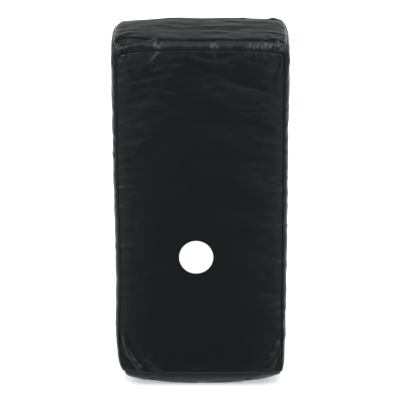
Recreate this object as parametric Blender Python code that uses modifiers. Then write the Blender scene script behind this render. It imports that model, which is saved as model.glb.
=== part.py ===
"""Hit shield: a laminated foam block in a sewn cover, with vents, a rear zip and three rear handles.

Metres. +Z is up, the struck face looks along -Y, and the origin is the middle of the flat base.
"""

import math

import bmesh
import bpy
from mathutils import Matrix, Vector

# The cover's form
SHIELD_HEIGHT = 0.750
SHIELD_WIDTH = 0.355  # across the swollen sides
SHIELD_DEPTH = 0.155  # from the front seam's plane to the rear panel
FRONT_SIDE_SWELL = 0.008  # the sides stand out past the front seam by this
FRONT_SEAM_INSET = 0.031  # below the top and above the base
REAR_SIDE_SWELL = 0.007  # and past the rear seam by this
REAR_SEAM_INSET = 0.004
ROLL_DEPTH = 0.028  # the boxing rolls over the foam's front edge within this depth
END_DRAW_IN = 0.010  # the top and the base fall back this far at their corners
REAR_DRAW_IN = 0.007  # and this far at the rear seam
TOP_SIDE_DRAW_IN = 0.003  # the sides pull in this far at their upper corners
BASE_SIDE_DRAW_IN = 0.011  # and this far at the lower ones
FRONT_CROWN = 0.006
BASE_FLATTENING = 0.0005
SIDE_DRAW_POWER = 14
END_DRAW_POWER = 3
CROWN_SIDE_POWER = 6
CROWN_END_POWER = 16
REAR_FALL_POWER = 4

# Fabric and clearances
COVER_THICKNESS = 0.0009
SEAM_ALLOWANCE = 0.0008  # each panel ends this far from its seam
FIT_GAP = 0.0003
FOAM_CLEARANCE = 0.0008
OVERRUN = 0.004  # how far a cutter passes what it cuts

# Foam layers
STRIKE_LAYER_DEPTH = 0.045
CORE_LAYER_DEPTH = 0.070

# Piping in the rear seam
PIPING_RADIUS = 0.0022

# White disc on the front
TARGET_RADIUS = 0.035
TARGET_THICKNESS = 0.0006
TARGET_OFFSET = -0.0085  # from the middle, along X
TARGET_HEIGHT = 0.284

# Air vents
VENT_ROLL_SHARE = 0.5  # of the roll's depth, behind the front seam
VENT_SPACING = 0.202  # between the two in the base
SIDE_VENT_HEIGHT = 0.105
VENT_SEAT = 0.023  # side of the square of fabric that the vent pulls flat
VENT_SINK = 0.0004  # how far it pulls the fabric in
VENT_RADIUS = 0.00975
VENT_BORE_RADIUS = 0.0050
VENT_WALL = 0.0006
VENT_DOME = 0.0008
VENT_FLANGE = 0.0004
VENT_CURL = 0.0012
WASHER_THICKNESS = 0.0006
POCKET_RADIUS = 0.0130
POCKET_DEPTH = 0.006
VENT_STEPS = 20

# Zip
ZIP_HEIGHT = 0.085
ZIP_SLOT = 0.014  # between the two rear panels
TAPE_END_MARGIN = 0.0135  # from the rear seam
TAPE_WIDTH = 0.014
TAPE_THICKNESS = 0.0008
CHAIN_END_MARGIN = 0.010  # from the tape's end
CHAIN_WIDTH = 0.0026  # of one row of teeth
CHAIN_PROUD = 0.0006
STOP_LENGTH = 0.004
SLIDER_LENGTH = 0.012
SLIDER_WALL = 0.0016
BRIDGE_LENGTH = 0.0080
BRIDGE_WIDTH = 0.0024
BRIDGE_RISE = 0.0036
BRIDGE_WALL = 0.0010
PULL_LENGTH = 0.034
PULL_WIDTH = 0.0085
PULL_THICKNESS = 0.0014
PULL_WINDOW_LENGTH = 0.0080
PULL_RIM = 0.0018
PULL_BAR = 0.0014

# Handles: a webbing arch between two sewn feet, and the height of the line that it tips about
STRAP_AXIS_HEIGHT = 0.018
FOOT_LENGTH = 0.045
PATCH_MARGIN = 0.006
PATCH_THICKNESS = 0.0012
HANDLES_RAISE = 0.025  # of the middles of the two upright handles, above the shield's middle
FOREARM_SIDE_MARGIN = 0.0975  # from the shield's side to the strap's middle
FOREARM_HALF_SPAN = 0.115
FOREARM_RISE = 0.064
FOREARM_WIDTH = 0.050
FOREARM_THICKNESS = 0.0024
GRIP_SIDE_MARGIN = 0.0825
CARRY_DROP = 0.095  # from the top to the handle's middle
GRIP_HALF_SPAN = 0.085
GRIP_RISE = 0.050
GRIP_WIDTH = 0.025
GRIP_THICKNESS = 0.0020
SLEEVE_RADIUS = 0.0140
SLEEVE_LENGTH = 0.084

# How finely the soft forms are divided
ACROSS_SEGMENTS = 12
UP_SEGMENTS = 18
ARCH_SEGMENTS = 22

FRONT_SEAM_WIDTH = SHIELD_WIDTH - 2 * FRONT_SIDE_SWELL
REAR_SEAM_WIDTH = SHIELD_WIDTH - 2 * REAR_SIDE_SWELL
TAPE_LENGTH = REAR_SEAM_WIDTH - 2 * TAPE_END_MARGIN
CHAIN_LENGTH = TAPE_LENGTH - 2 * CHAIN_END_MARGIN
FOREARM_X = FOREARM_SIDE_MARGIN - SHIELD_WIDTH / 2
GRIP_X = SHIELD_WIDTH / 2 - GRIP_SIDE_MARGIN
HANDLES_HEIGHT = SHIELD_HEIGHT / 2 + HANDLES_RAISE
CARRY_HEIGHT = SHIELD_HEIGHT - CARRY_DROP
FRONT_Y = -SHIELD_DEPTH / 2
REAR_Y = SHIELD_DEPTH / 2
MIDDLE_Z = SHIELD_HEIGHT / 2
ROLL_SHARE = ROLL_DEPTH / SHIELD_DEPTH
FOAM_INSET = COVER_THICKNESS + FOAM_CLEARANCE
TAPE_OUTER_Y = REAR_Y - COVER_THICKNESS - FIT_GAP
TAPE_INNER_Y = TAPE_OUTER_Y - TAPE_THICKNESS
FOAM_REAR_Y = TAPE_INNER_Y - FIT_GAP
CHAIN_OUTER_Y = REAR_Y + CHAIN_PROUD


def clear_scene():
    for thing in list(bpy.data.objects):
        bpy.data.objects.remove(thing, do_unlink=True)


def new_collection(name):
    made = bpy.data.collections.new(name)
    bpy.context.scene.collection.children.link(made)
    return made


def new_material(name, colour, roughness, metallic=0.0):
    material = bpy.data.materials.new(name)
    material.use_nodes = True
    shader = material.node_tree.nodes["Principled BSDF"]
    shader.inputs["Base Color"].default_value = (*colour, 1.0)
    shader.inputs["Roughness"].default_value = roughness
    shader.inputs["Metallic"].default_value = metallic
    return material


def finish_mesh(bm, name, collection, material, smooth=True):
    """Turns bm into a named object of the collection."""
    mesh = bpy.data.meshes.new(name)
    bm.to_mesh(mesh)
    bm.free()
    made = bpy.data.objects.new(name, mesh)
    collection.objects.link(made)
    if material:
        mesh.materials.append(material)
    if smooth:
        mesh.shade_smooth()
        mesh.set_sharp_from_angle(angle=math.radians(40))
    return made


def add_block(name, low, high, collection, material, bevel=0.0):
    """A box from corner low to corner high, with its long edges rounded by bevel."""
    low, high = Vector(low), Vector(high)
    bm = bmesh.new()
    bmesh.ops.create_cube(bm, size=1.0)
    bmesh.ops.scale(bm, vec=high - low, verts=bm.verts)
    made = finish_mesh(bm, name, collection, material)
    made.location = (low + high) / 2
    if bevel:
        rounding = made.modifiers.new("rounding", "BEVEL")
        rounding.width = bevel
        rounding.segments = 2
    return made


def as_cutter(made):
    made.hide_render = True
    made.display_type = "WIRE"
    return made


def add_boolean(target, tool, operation):
    cut = target.modifiers.new(operation.lower(), "BOOLEAN")
    cut.operation = operation
    cut.solver = "EXACT"
    cut.object = tool
    return cut


def spread(segments):
    """Places from -1 to 1, closer together towards both ends."""
    return [math.sin(math.pi / 2 * (2 * i / segments - 1)) for i in range(segments + 1)]


def swept_half(front, full, rear, depth):
    """Half a size of the form: it rises as a quarter ellipse within the roll, then falls to the rear seam."""
    if depth < ROLL_SHARE:
        return front + (full - front) * math.sqrt(1 - (1 - depth / ROLL_SHARE) ** 2)
    fall = ((depth - ROLL_SHARE) / (1 - ROLL_SHARE)) ** REAR_FALL_POWER
    return full - (full - rear) * fall


def soft_point(across, depth, up, inset=0.0):
    """A point of the cover's form, or inset below it.

    across and up run from -1 to 1, and depth from 0 at the front seam to 1 at the rear one.
    """
    end_draw = END_DRAW_IN + (REAR_DRAW_IN - END_DRAW_IN) * depth**2
    side_draw = TOP_SIDE_DRAW_IN if up > 0 else BASE_SIDE_DRAW_IN
    half_width = swept_half(FRONT_SEAM_WIDTH / 2, SHIELD_WIDTH / 2, REAR_SEAM_WIDTH / 2, depth) - inset
    seam_half, rear_half = MIDDLE_Z - FRONT_SEAM_INSET, MIDDLE_Z - REAR_SEAM_INSET
    half_height = swept_half(seam_half, MIDDLE_Z + BASE_FLATTENING, rear_half, depth) - inset
    x = across * (half_width - side_draw * abs(up) ** SIDE_DRAW_POWER)
    z = MIDDLE_Z + up * (half_height - end_draw * abs(across) ** END_DRAW_POWER)
    return Vector((x, FRONT_Y + depth * SHIELD_DEPTH + inset, max(z, inset)))


def front_point(across, up, inset=0.0):
    """A point of the crowned front."""
    point = soft_point(across, 0.0, up, inset)
    point.y -= FRONT_CROWN * (1 - abs(across) ** CROWN_SIDE_POWER) * (1 - abs(up) ** CROWN_END_POWER)
    return point


def boxing_point(side, along, depth, inset=0.0):
    """A point of one of the four boxing panels, along it from -1 to 1."""
    across = {"left": -1.0, "right": 1.0}.get(side, along)
    up = {"bottom": -1.0, "top": 1.0}.get(side, along)
    return soft_point(across, depth, up, inset)


def turn_depth(angle):
    """The depth at which the roll has turned by angle."""
    return ROLL_SHARE * (1 - math.cos(angle))


def vent_frame(side, along):
    """Where a vent sits: the middle of its flattened fabric, as a matrix with Z along its outward normal."""
    depth = ROLL_SHARE * VENT_ROLL_SHARE
    step = VENT_SEAT / SHIELD_HEIGHT
    middle = boxing_point(side, along, depth)
    along_way = boxing_point(side, along + step, depth) - boxing_point(side, along - step, depth)
    back_way = boxing_point(side, along, depth + step / 4) - boxing_point(side, along, depth - step / 4)
    normal = along_way.cross(back_way).normalized()
    if normal.dot(middle - Vector((0, 0, MIDDLE_Z))) < 0:
        normal.negate()
    first = back_way.normalized()
    second = normal.cross(first)
    turn = Matrix((first, second, normal)).transposed().to_4x4()
    return Matrix.Translation(middle - normal * VENT_SINK) @ turn


def vent_places():
    """Each vent's name, its side of the shield and its place along that side."""
    half_width = SHIELD_WIDTH / 2 - BASE_SIDE_DRAW_IN
    half_height = MIDDLE_Z - END_DRAW_IN
    out = VENT_SPACING / 2 / half_width
    low = (SIDE_VENT_HEIGHT - MIDDLE_Z) / half_height
    return [
        ("bottom_left", "bottom", -out, half_width),
        ("bottom_right", "bottom", out, half_width),
        ("side_left", "left", low, half_height),
        ("side_right", "right", low, half_height),
    ]


def seat_angles():
    """The turns of the roll at the two edges of a vent's seat."""
    middle = ROLL_SHARE * VENT_ROLL_SHARE * SHIELD_DEPTH
    turn = math.acos(1 - VENT_ROLL_SHARE)
    slope = math.atan2(FRONT_SEAM_INSET * math.cos(turn), ROLL_DEPTH * math.sin(turn))
    reach = VENT_SEAT / 2 * math.cos(slope)
    return [math.acos(1 - (middle + way * reach) / ROLL_DEPTH) for way in (-1, 1)]


def boxing_rows(last_depth):
    """The depths of a boxing panel's rows: close together on the roll and at a vent's seat."""
    first = SEAM_ALLOWANCE / FRONT_SEAM_INSET
    near, far = seat_angles()
    middle = math.acos(1 - VENT_ROLL_SHARE)
    turns = [first, (first + near) / 2, near, (near + middle) / 2, middle, (middle + far) / 2, far]
    rows = [turn_depth(turn) for turn in turns]
    rear_shares = (0.25, 0.45, 0.68, 0.86, 1.0)
    return rows + [ROLL_SHARE + (last_depth - ROLL_SHARE) * share for share in rear_shares]


def add_patch(bm, columns, rows, place):
    """Adds a grid to bm whose vertices lie at place(column, row), facing away from the shield's middle."""
    before = set(bm.faces)
    wide, deep = len(columns) - 1, len(rows) - 1
    made = bmesh.ops.create_grid(bm, x_segments=wide, y_segments=deep, size=1.0)["verts"]
    for vertex in made:
        column = columns[round((vertex.co.x + 1) / 2 * wide)]
        row = rows[round((vertex.co.y + 1) / 2 * deep)]
        vertex.co = place(column, row)
    faces = [face for face in bm.faces if face not in before]
    bm.normal_update()
    facing = sum(f.normal.dot(f.calc_center_median() - Vector((0, 0, MIDDLE_Z))) for f in faces)
    if facing < 0:
        bmesh.ops.reverse_faces(bm, faces=faces)


def thicken(made, thickness):
    """Gives an open sheet its thickness, inwards."""
    shell = made.modifiers.new("thickness", "SOLIDIFY")
    shell.thickness = thickness
    shell.offset = -1.0
    shell.use_even_offset = True
    return made


def columns_of(side):
    """Places along a boxing panel, ending at its corner seams and closer together at its vents."""
    ends = side in ("left", "right")
    half = MIDDLE_Z if ends else SHIELD_WIDTH / 2
    places = [place * (1 - SEAM_ALLOWANCE / half) for place in spread(UP_SEGMENTS if ends else ACROSS_SEGMENTS)]
    for _, vent_side, along, length in vent_places():
        if vent_side == side:
            reach = VENT_SEAT / 2 / length
            seat = [along - reach, along, along + reach]
            places = [place for place in places if abs(place - along) > 1.5 * reach] + seat
    return sorted(places)


def add_boxing(side, collection, material):
    """One of the four strips round the foam, with a flat seat and a hole for each vent in it."""
    vents = [(vent_frame(s, along), along, length) for _, s, along, length in vent_places() if s == side]
    near, far = (turn_depth(turn) for turn in seat_angles())
    slack = VENT_SINK / SHIELD_HEIGHT

    def place(column, row):
        point = boxing_point(side, column, row)
        for frame, along, length in vents:
            reach = VENT_SEAT / 2 / length + slack
            if abs(column - along) <= reach and near - slack <= row <= far + slack:
                local = frame.inverted() @ point
                local.z = 0.0
                point = frame @ local
        return point

    bm = bmesh.new()
    last = (REAR_Y - PIPING_RADIUS - FIT_GAP - FRONT_Y) / SHIELD_DEPTH
    add_patch(bm, columns_of(side), boxing_rows(last), place)
    return thicken(finish_mesh(bm, f"cover_{side}", collection, material), COVER_THICKNESS)


def add_front(collection, material):
    bm = bmesh.new()
    columns = [place * (1 - 2 * SEAM_ALLOWANCE / FRONT_SEAM_WIDTH) for place in spread(ACROSS_SEGMENTS)]
    rows = [place * (1 - SEAM_ALLOWANCE / MIDDLE_Z) for place in spread(UP_SEGMENTS)]
    add_patch(bm, columns, rows, front_point)
    return thicken(finish_mesh(bm, "cover_front", collection, material), COVER_THICKNESS)


def rear_loop(inset):
    """The rear seam's outline, or one inset from it, as points all round."""
    ups, acrosses = spread(UP_SEGMENTS), spread(ACROSS_SEGMENTS)
    right = [(1.0, up) for up in ups[:-1]]
    top = [(-across, 1.0) for across in acrosses[:-1]]
    left = [(-1.0, -up) for up in ups[:-1]]
    bottom = [(across, -1.0) for across in acrosses[:-1]]
    loop = []
    for across, up in right + top + left + bottom:
        point = soft_point(across, 1.0, up, inset)
        point.y = REAR_Y
        loop.append(point)
    return loop


def add_rear_panel(name, low, high, collection, material):
    """The part of the flat rear panel between two heights."""
    bm = bmesh.new()
    inset = PIPING_RADIUS + FIT_GAP
    bm.faces.new([bm.verts.new(point) for point in rear_loop(inset)])
    for height, way in ((low, -1), (high, 1)):
        bmesh.ops.bisect_plane(
            bm,
            geom=bm.verts[:] + bm.edges[:] + bm.faces[:],
            plane_co=(0, 0, height),
            plane_no=(0, 0, way),
            clear_outer=True,
        )
    bm.normal_update()
    if bm.faces[:][0].normal.y < 0:
        bmesh.ops.reverse_faces(bm, faces=bm.faces)
    return thicken(finish_mesh(bm, name, collection, material), COVER_THICKNESS)


def add_piping(collection, material):
    curve = bpy.data.curves.new("rear_piping", "CURVE")
    curve.dimensions = "3D"
    curve.bevel_depth = PIPING_RADIUS
    curve.bevel_resolution = 1
    points = rear_loop(0.0)
    spline = curve.splines.new("POLY")
    spline.points.add(len(points) - 1)
    for place, point in zip(spline.points, points):
        place.co = (*point, 1.0)
    spline.use_cyclic_u = True
    curve.materials.append(material)
    made = bpy.data.objects.new("rear_piping", curve)
    collection.objects.link(made)
    return made


def add_foam(name, rows, crowned, collection, material):
    """A foam layer through the given depths, inset all round from the cover."""
    acrosses, ups = spread(ACROSS_SEGMENTS), spread(UP_SEGMENTS)
    bm = bmesh.new()
    for side in ("left", "right"):
        add_patch(bm, ups, rows, lambda along, row, s=side: boxing_point(s, along, row, FOAM_INSET))
    for side in ("bottom", "top"):
        add_patch(bm, acrosses, rows, lambda along, row, s=side: boxing_point(s, along, row, FOAM_INSET))
    if crowned:
        add_patch(bm, acrosses, ups, lambda across, up: front_point(across, up, FOAM_INSET))
    bmesh.ops.remove_doubles(bm, verts=bm.verts, dist=FIT_GAP / 10)
    bmesh.ops.holes_fill(bm, edges=[edge for edge in bm.edges if edge.is_boundary], sides=0)
    bmesh.ops.recalc_face_normals(bm, faces=bm.faces)
    return finish_mesh(bm, name, collection, material)


def foam_share(y):
    """The depth at which an inset point lies at y."""
    return (y - FOAM_INSET - FRONT_Y) / SHIELD_DEPTH


def add_foam_layers(collection, strike_material, core_material, cutters):
    strike_end = FRONT_Y + STRIKE_LAYER_DEPTH
    core_end = strike_end + CORE_LAYER_DEPTH
    turns = [math.pi / 2 * i / 5 for i in range(6)]
    strike_rows = [turn_depth(turn) for turn in turns] + [foam_share(strike_end)]
    strike = add_foam("foam_strike_layer", strike_rows, True, collection, strike_material)
    core_start = foam_share(strike_end + FIT_GAP)
    core_rows = [core_start + (foam_share(core_end) - core_start) * i / 3 for i in range(4)]
    add_foam("foam_core_layer", core_rows, False, collection, core_material)
    rear_start = foam_share(core_end + FIT_GAP)
    rear_rows = [rear_start + (foam_share(FOAM_REAR_Y) - rear_start) * i / 2 for i in range(3)]
    add_foam("foam_rear_layer", rear_rows, False, collection, strike_material)
    for name, side, along, _ in vent_places():
        pocket = add_rod(f"pocket_{name}", POCKET_RADIUS, -POCKET_DEPTH, OVERRUN, cutters)
        pocket.matrix_world = vent_frame(side, along)
        add_boolean(strike, as_cutter(pocket), "DIFFERENCE")


def add_rod(name, radius, low, high, collection, material=None, steps=24):
    """A closed cylinder on the local Z axis, between two heights."""
    bm = bmesh.new()
    bmesh.ops.create_cone(
        bm, cap_ends=True, segments=steps, radius1=radius, radius2=radius, depth=high - low
    )
    bmesh.ops.translate(bm, vec=(0, 0, (low + high) / 2), verts=bm.verts)
    return finish_mesh(bm, name, collection, material)


def add_turned(name, profile, collection, material):
    """A ring turned from a closed profile of radius and height, listed down its outer side first."""
    bm = bmesh.new()
    vertices = [bm.verts.new((radius, 0, height)) for radius, height in profile]
    for first, second in zip(vertices, vertices[1:] + vertices[:1]):
        bm.edges.new((first, second))
    made = finish_mesh(bm, name, collection, material, smooth=False)
    turn = made.modifiers.new("turn", "SCREW")
    turn.steps = turn.render_steps = VENT_STEPS
    turn.use_merge_vertices = True
    turn.merge_threshold = FIT_GAP / 10
    turn.use_smooth_shade = True
    return made


def add_vent(name, side, along, covers, collection, metal, cutters):
    """An eyelet through the fabric and the washer that it is closed over."""
    frame = vent_frame(side, along)
    barrel = VENT_BORE_RADIUS + VENT_WALL
    hole = barrel + FIT_GAP
    seat = FIT_GAP
    washer_top = -COVER_THICKNESS - FIT_GAP
    washer_low = washer_top - WASHER_THICKNESS
    curl_top = washer_low - FIT_GAP
    curl_low = curl_top - VENT_WALL
    crest = seat + VENT_FLANGE + VENT_DOME
    profile = [
        (barrel, crest),
        ((barrel + VENT_RADIUS) / 2, crest),
        (VENT_RADIUS - VENT_DOME, seat + VENT_FLANGE + VENT_DOME / 2),
        (VENT_RADIUS, seat),
        (barrel, seat),
        (barrel, curl_top),
        (barrel + VENT_CURL, curl_top),
        (barrel + VENT_CURL, curl_low),
        (VENT_BORE_RADIUS, curl_low),
        (VENT_BORE_RADIUS, crest - VENT_WALL),
    ]
    eyelet = add_turned(f"vent_eyelet_{name}", profile, collection, metal)
    washer = add_turned(
        f"vent_washer_{name}",
        [(VENT_RADIUS, washer_top), (VENT_RADIUS, washer_low), (hole, washer_low), (hole, washer_top)],
        collection,
        metal,
    )
    cutter = add_rod(f"hole_{name}", hole, -OVERRUN, OVERRUN, cutters)
    for piece in (eyelet, washer, cutter):
        piece.matrix_world = frame
    add_boolean(covers[side], as_cutter(cutter), "DIFFERENCE")


def add_target(collection, material):
    """The white disc, laid on the flat middle of the crown."""
    up = (TARGET_HEIGHT - MIDDLE_Z) / (MIDDLE_Z - FRONT_SEAM_INSET)
    across = TARGET_OFFSET / (FRONT_SEAM_WIDTH / 2)
    face = front_point(across, up).y - FIT_GAP
    disc = add_rod("target_disc", TARGET_RADIUS, 0.0, TARGET_THICKNESS, collection, material, steps=48)
    disc.location = (TARGET_OFFSET, face, TARGET_HEIGHT)
    disc.rotation_euler = (math.pi / 2, 0, 0)
    return disc


def add_zip(collection, tape_material, tooth_material, metal, cutters):
    """Tapes behind the slot, teeth in it, end stops, and the slider with its pull tab."""
    for name, way in (("upper", 1), ("lower", -1)):
        near, far = FIT_GAP / 2, TAPE_WIDTH
        heights = sorted(ZIP_HEIGHT + way * reach for reach in (near, far))
        low = (-TAPE_LENGTH / 2, TAPE_INNER_Y, heights[0])
        add_block(f"zip_tape_{name}", low, (TAPE_LENGTH / 2, TAPE_OUTER_Y, heights[1]), collection, tape_material)
        heights = sorted(ZIP_HEIGHT + way * reach for reach in (near, near + CHAIN_WIDTH))
        low = (-CHAIN_LENGTH / 2, TAPE_OUTER_Y + FIT_GAP, heights[0])
        high = (CHAIN_LENGTH / 2, CHAIN_OUTER_Y, heights[1])
        add_block(f"zip_teeth_{name}", low, high, collection, tooth_material, CHAIN_PROUD / 2)
    half_stop = CHAIN_WIDTH + FIT_GAP
    for name, way in (("left", -1), ("right", 1)):
        ends = sorted(way * reach for reach in (CHAIN_LENGTH / 2 + FIT_GAP, CHAIN_LENGTH / 2 + STOP_LENGTH))
        low = (ends[0], TAPE_OUTER_Y + FIT_GAP, ZIP_HEIGHT - half_stop)
        high = (ends[1], CHAIN_OUTER_Y, ZIP_HEIGHT + half_stop)
        add_block(f"zip_stop_{name}", low, high, collection, metal, CHAIN_PROUD / 2)
    add_slider(collection, metal, cutters)


def slider_places():
    """The slider's middle along X when the zip is closed, its outer face, and the pull bar's middle."""
    start = CHAIN_LENGTH / 2 - SLIDER_LENGTH / 2
    plate_y = CHAIN_OUTER_Y + FIT_GAP + SLIDER_WALL
    bar_y = plate_y + FIT_GAP + PULL_BAR / 2
    return start, plate_y, bar_y


def add_slider(collection, metal, cutters):
    start, plate_y, bar_y = slider_places()
    half_length = SLIDER_LENGTH / 2
    half_inner = CHAIN_WIDTH + 2 * FIT_GAP
    half_outer = half_inner + SLIDER_WALL
    skirt_y = TAPE_OUTER_Y + FIT_GAP
    slider = add_block(
        "zip_slider",
        (start - half_length, skirt_y, ZIP_HEIGHT - half_outer),
        (start + half_length, plate_y, ZIP_HEIGHT + half_outer),
        collection,
        metal,
        SLIDER_WALL / 3,
    )
    channel = add_block(
        "slider_channel",
        (start - half_length - OVERRUN, skirt_y - OVERRUN, ZIP_HEIGHT - half_inner),
        (start + half_length + OVERRUN, plate_y - SLIDER_WALL, ZIP_HEIGHT + half_inner),
        cutters,
        None,
    )
    bridge_top = plate_y + BRIDGE_RISE
    bridge = add_block(
        "slider_bridge",
        (start - BRIDGE_LENGTH / 2, plate_y - SLIDER_WALL / 2, ZIP_HEIGHT - BRIDGE_WIDTH / 2),
        (start + BRIDGE_LENGTH / 2, bridge_top, ZIP_HEIGHT + BRIDGE_WIDTH / 2),
        cutters,
        metal,
    )
    eye = add_block(
        "slider_eye",
        (start - BRIDGE_LENGTH / 2 + BRIDGE_WALL, plate_y, ZIP_HEIGHT - BRIDGE_WIDTH),
        (start + BRIDGE_LENGTH / 2 - BRIDGE_WALL, bridge_top - BRIDGE_WALL, ZIP_HEIGHT + BRIDGE_WIDTH),
        cutters,
        None,
    )
    add_boolean(slider, as_cutter(channel), "DIFFERENCE")
    add_boolean(slider, as_cutter(bridge), "UNION")
    add_boolean(slider, as_cutter(eye), "DIFFERENCE")
    add_pull(start, bar_y, collection, metal, cutters)


def add_pull(start, bar_y, collection, metal, cutters):
    """The pull tab, lying along the teeth towards the middle of the zip, hung on the slider by its bar."""
    half_width = PULL_WIDTH / 2
    pivot = Vector((start, bar_y, ZIP_HEIGHT))
    half_bar = PULL_BAR / 2
    pull = add_block(
        "zip_pull",
        pivot + Vector((half_bar - PULL_LENGTH, -PULL_THICKNESS / 2, -half_width)),
        pivot + Vector((half_bar, PULL_THICKNESS / 2, half_width)),
        collection,
        metal,
        PULL_THICKNESS / 4,
    )
    window = add_block(
        "pull_window",
        pivot + Vector((-half_bar - PULL_WINDOW_LENGTH, -OVERRUN, PULL_RIM - half_width)),
        pivot + Vector((-half_bar, OVERRUN, half_width - PULL_RIM)),
        cutters,
        None,
    )
    add_boolean(pull, as_cutter(window), "DIFFERENCE")
    return pull


def arch_height(along, half_span, rise, base):
    """The height above the rear panel of a webbing's middle, at a place along it."""
    return base + rise * (1 - min(1.0, abs(along) / half_span) ** 4) ** 2


def arch_slope(along, half_span, rise):
    share = min(1.0, abs(along) / half_span)
    return 8 * rise / half_span * (1 - share**4) * share**3


def tip_reach(half_span, rise, base):
    """How far from its middle a webbing passes through the line that it tips about."""
    return half_span * (1 - math.sqrt((STRAP_AXIS_HEIGHT - base) / rise)) ** 0.25


def webbing_outline(places, half_span, rise, base, thickness):
    """The side view of a stretch of webbing, with its ends square to the line through the feet."""
    upper, lower = [], []
    for along in places:
        height = arch_height(along, half_span, rise, base)
        half = thickness / 2 * math.hypot(1, arch_slope(along, half_span, rise))
        upper.append((along, height + half))
        lower.append((along, height - half))
    return upper + lower[::-1]


def add_webbing(name, outline, width, place, collection, material):
    """A side view of along and height, widened to a strip. place turns the strip onto the rear panel."""
    bm = bmesh.new()
    near = [bm.verts.new((along, -width / 2, height)) for along, height in outline]
    far = [bm.verts.new((along, width / 2, height)) for along, height in outline]
    count = len(outline)
    half = count // 2
    for row in (near, far):
        for i in range(half - 1):
            bm.faces.new((row[i], row[i + 1], row[count - 2 - i], row[count - 1 - i]))
    for i in range(count):
        after = (i + 1) % count
        bm.faces.new((near[i], near[after], far[after], far[i]))
    bmesh.ops.recalc_face_normals(bm, faces=bm.faces)
    made = finish_mesh(bm, name, collection, material)
    made.matrix_world = place
    return made


def handle_frame(x, z, upright):
    """Turns a handle's own axes, X along it and Z out, onto the rear panel at (x, z)."""
    out = Vector((0, 1, 0))
    along = Vector((0, 0, 1)) if upright else Vector((1, 0, 0))
    across = out.cross(along)
    turn = Matrix((along, across, out)).transposed().to_4x4()
    return Matrix.Translation((x, REAR_Y, z)) @ turn


def stretch(low, high, segments):
    return [low + (high - low) * i / segments for i in range(segments + 1)]


def add_handle(name, place, half_span, rise, width, thickness, collection, webbing, patch_material):
    """A webbing arch, its two sewn feet and the patches under them. Returns the arch and its base height."""
    patch_low = FIT_GAP
    patch_high = patch_low + PATCH_THICKNESS
    base = patch_high + FIT_GAP + thickness / 2
    reach = tip_reach(half_span, rise, base)
    sizes = (half_span, rise, base, thickness)
    inner = reach - FIT_GAP / 2
    outline = webbing_outline(stretch(-inner, inner, ARCH_SEGMENTS), *sizes)
    arch = add_webbing(name, outline, width, place, collection, webbing)
    for end, way in (("low", -1), ("high", 1)):
        places = stretch(reach + FIT_GAP / 2, half_span, ARCH_SEGMENTS // 3) + [half_span + FOOT_LENGTH]
        outline = webbing_outline([way * along for along in places], *sizes)
        add_webbing(f"{name}_foot_{end}", outline, width, place, collection, webbing)
        ends = sorted((way * (half_span - PATCH_MARGIN), way * (half_span + FOOT_LENGTH + PATCH_MARGIN)))
        half_width = width / 2 + PATCH_MARGIN
        low = (ends[0], -half_width, patch_low)
        patch = add_block(
            f"{name}_patch_{end}", low, (ends[1], half_width, patch_high), collection, patch_material
        )
        patch.matrix_world = place @ patch.matrix_basis
    return arch, base


def add_grip(name, place, collection, webbing, patch_material, rubber, cutters):
    """A hand loop with a padded sleeve round its webbing."""
    sizes = (GRIP_HALF_SPAN, GRIP_RISE)
    _, base = add_handle(name, place, *sizes, GRIP_WIDTH, GRIP_THICKNESS, collection, webbing, patch_material)
    places = stretch(-SLEEVE_LENGTH / 2, SLEEVE_LENGTH / 2, 12)
    curve = bpy.data.curves.new(f"{name}_sleeve_line", "CURVE")
    curve.dimensions = "3D"
    curve.bevel_depth = SLEEVE_RADIUS
    curve.bevel_resolution = 4
    curve.use_fill_caps = True
    spline = curve.splines.new("POLY")
    spline.points.add(len(places) - 1)
    for point, along in zip(spline.points, places):
        point.co = (along, 0, arch_height(along, *sizes, base), 1)
    line = bpy.data.objects.new(f"{name}_sleeve_line", curve)
    collection.objects.link(line)
    line.matrix_world = place
    bpy.context.view_layer.update()
    mesh = bpy.data.meshes.new_from_object(line.evaluated_get(bpy.context.evaluated_depsgraph_get()))
    bpy.data.objects.remove(line, do_unlink=True)
    bm = bmesh.new()
    bm.from_mesh(mesh)
    bmesh.ops.remove_doubles(bm, verts=bm.verts, dist=FIT_GAP / 10)
    sleeve = finish_mesh(bm, f"{name}_sleeve", collection, rubber)
    sleeve.matrix_world = place
    longer = stretch(-SLEEVE_LENGTH / 2 - 2 * OVERRUN, SLEEVE_LENGTH / 2 + 2 * OVERRUN, 16)
    outline = webbing_outline(longer, *sizes, base, GRIP_THICKNESS + 2 * FIT_GAP)
    slot = add_webbing(f"{name}_slot", outline, GRIP_WIDTH + 2 * FIT_GAP, place, cutters, None)
    add_boolean(sleeve, as_cutter(slot), "DIFFERENCE")
    return sleeve


def build_cover(parts, cutters):
    fabric = new_material("coated_fabric", (0.012, 0.014, 0.014), 0.34)
    metal = new_material("vent_metal", (0.62, 0.63, 0.64), 0.25, 1.0)
    white = new_material("white_vinyl", (0.86, 0.86, 0.85), 0.4)
    piping = new_material("piping", (0.010, 0.011, 0.011), 0.4)
    covers = {side: add_boxing(side, parts, fabric) for side in ("top", "bottom", "left", "right")}
    add_front(parts, fabric)
    slot_low, slot_high = ZIP_HEIGHT - ZIP_SLOT / 2, ZIP_HEIGHT + ZIP_SLOT / 2
    add_rear_panel("cover_rear", slot_high, SHIELD_HEIGHT, parts, fabric)
    add_rear_panel("cover_zip_flap", 0.0, slot_low, parts, fabric)
    add_piping(parts, piping)
    add_target(parts, white)
    for name, side, along, _ in vent_places():
        add_vent(name, side, along, covers, parts, metal, cutters)


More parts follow.
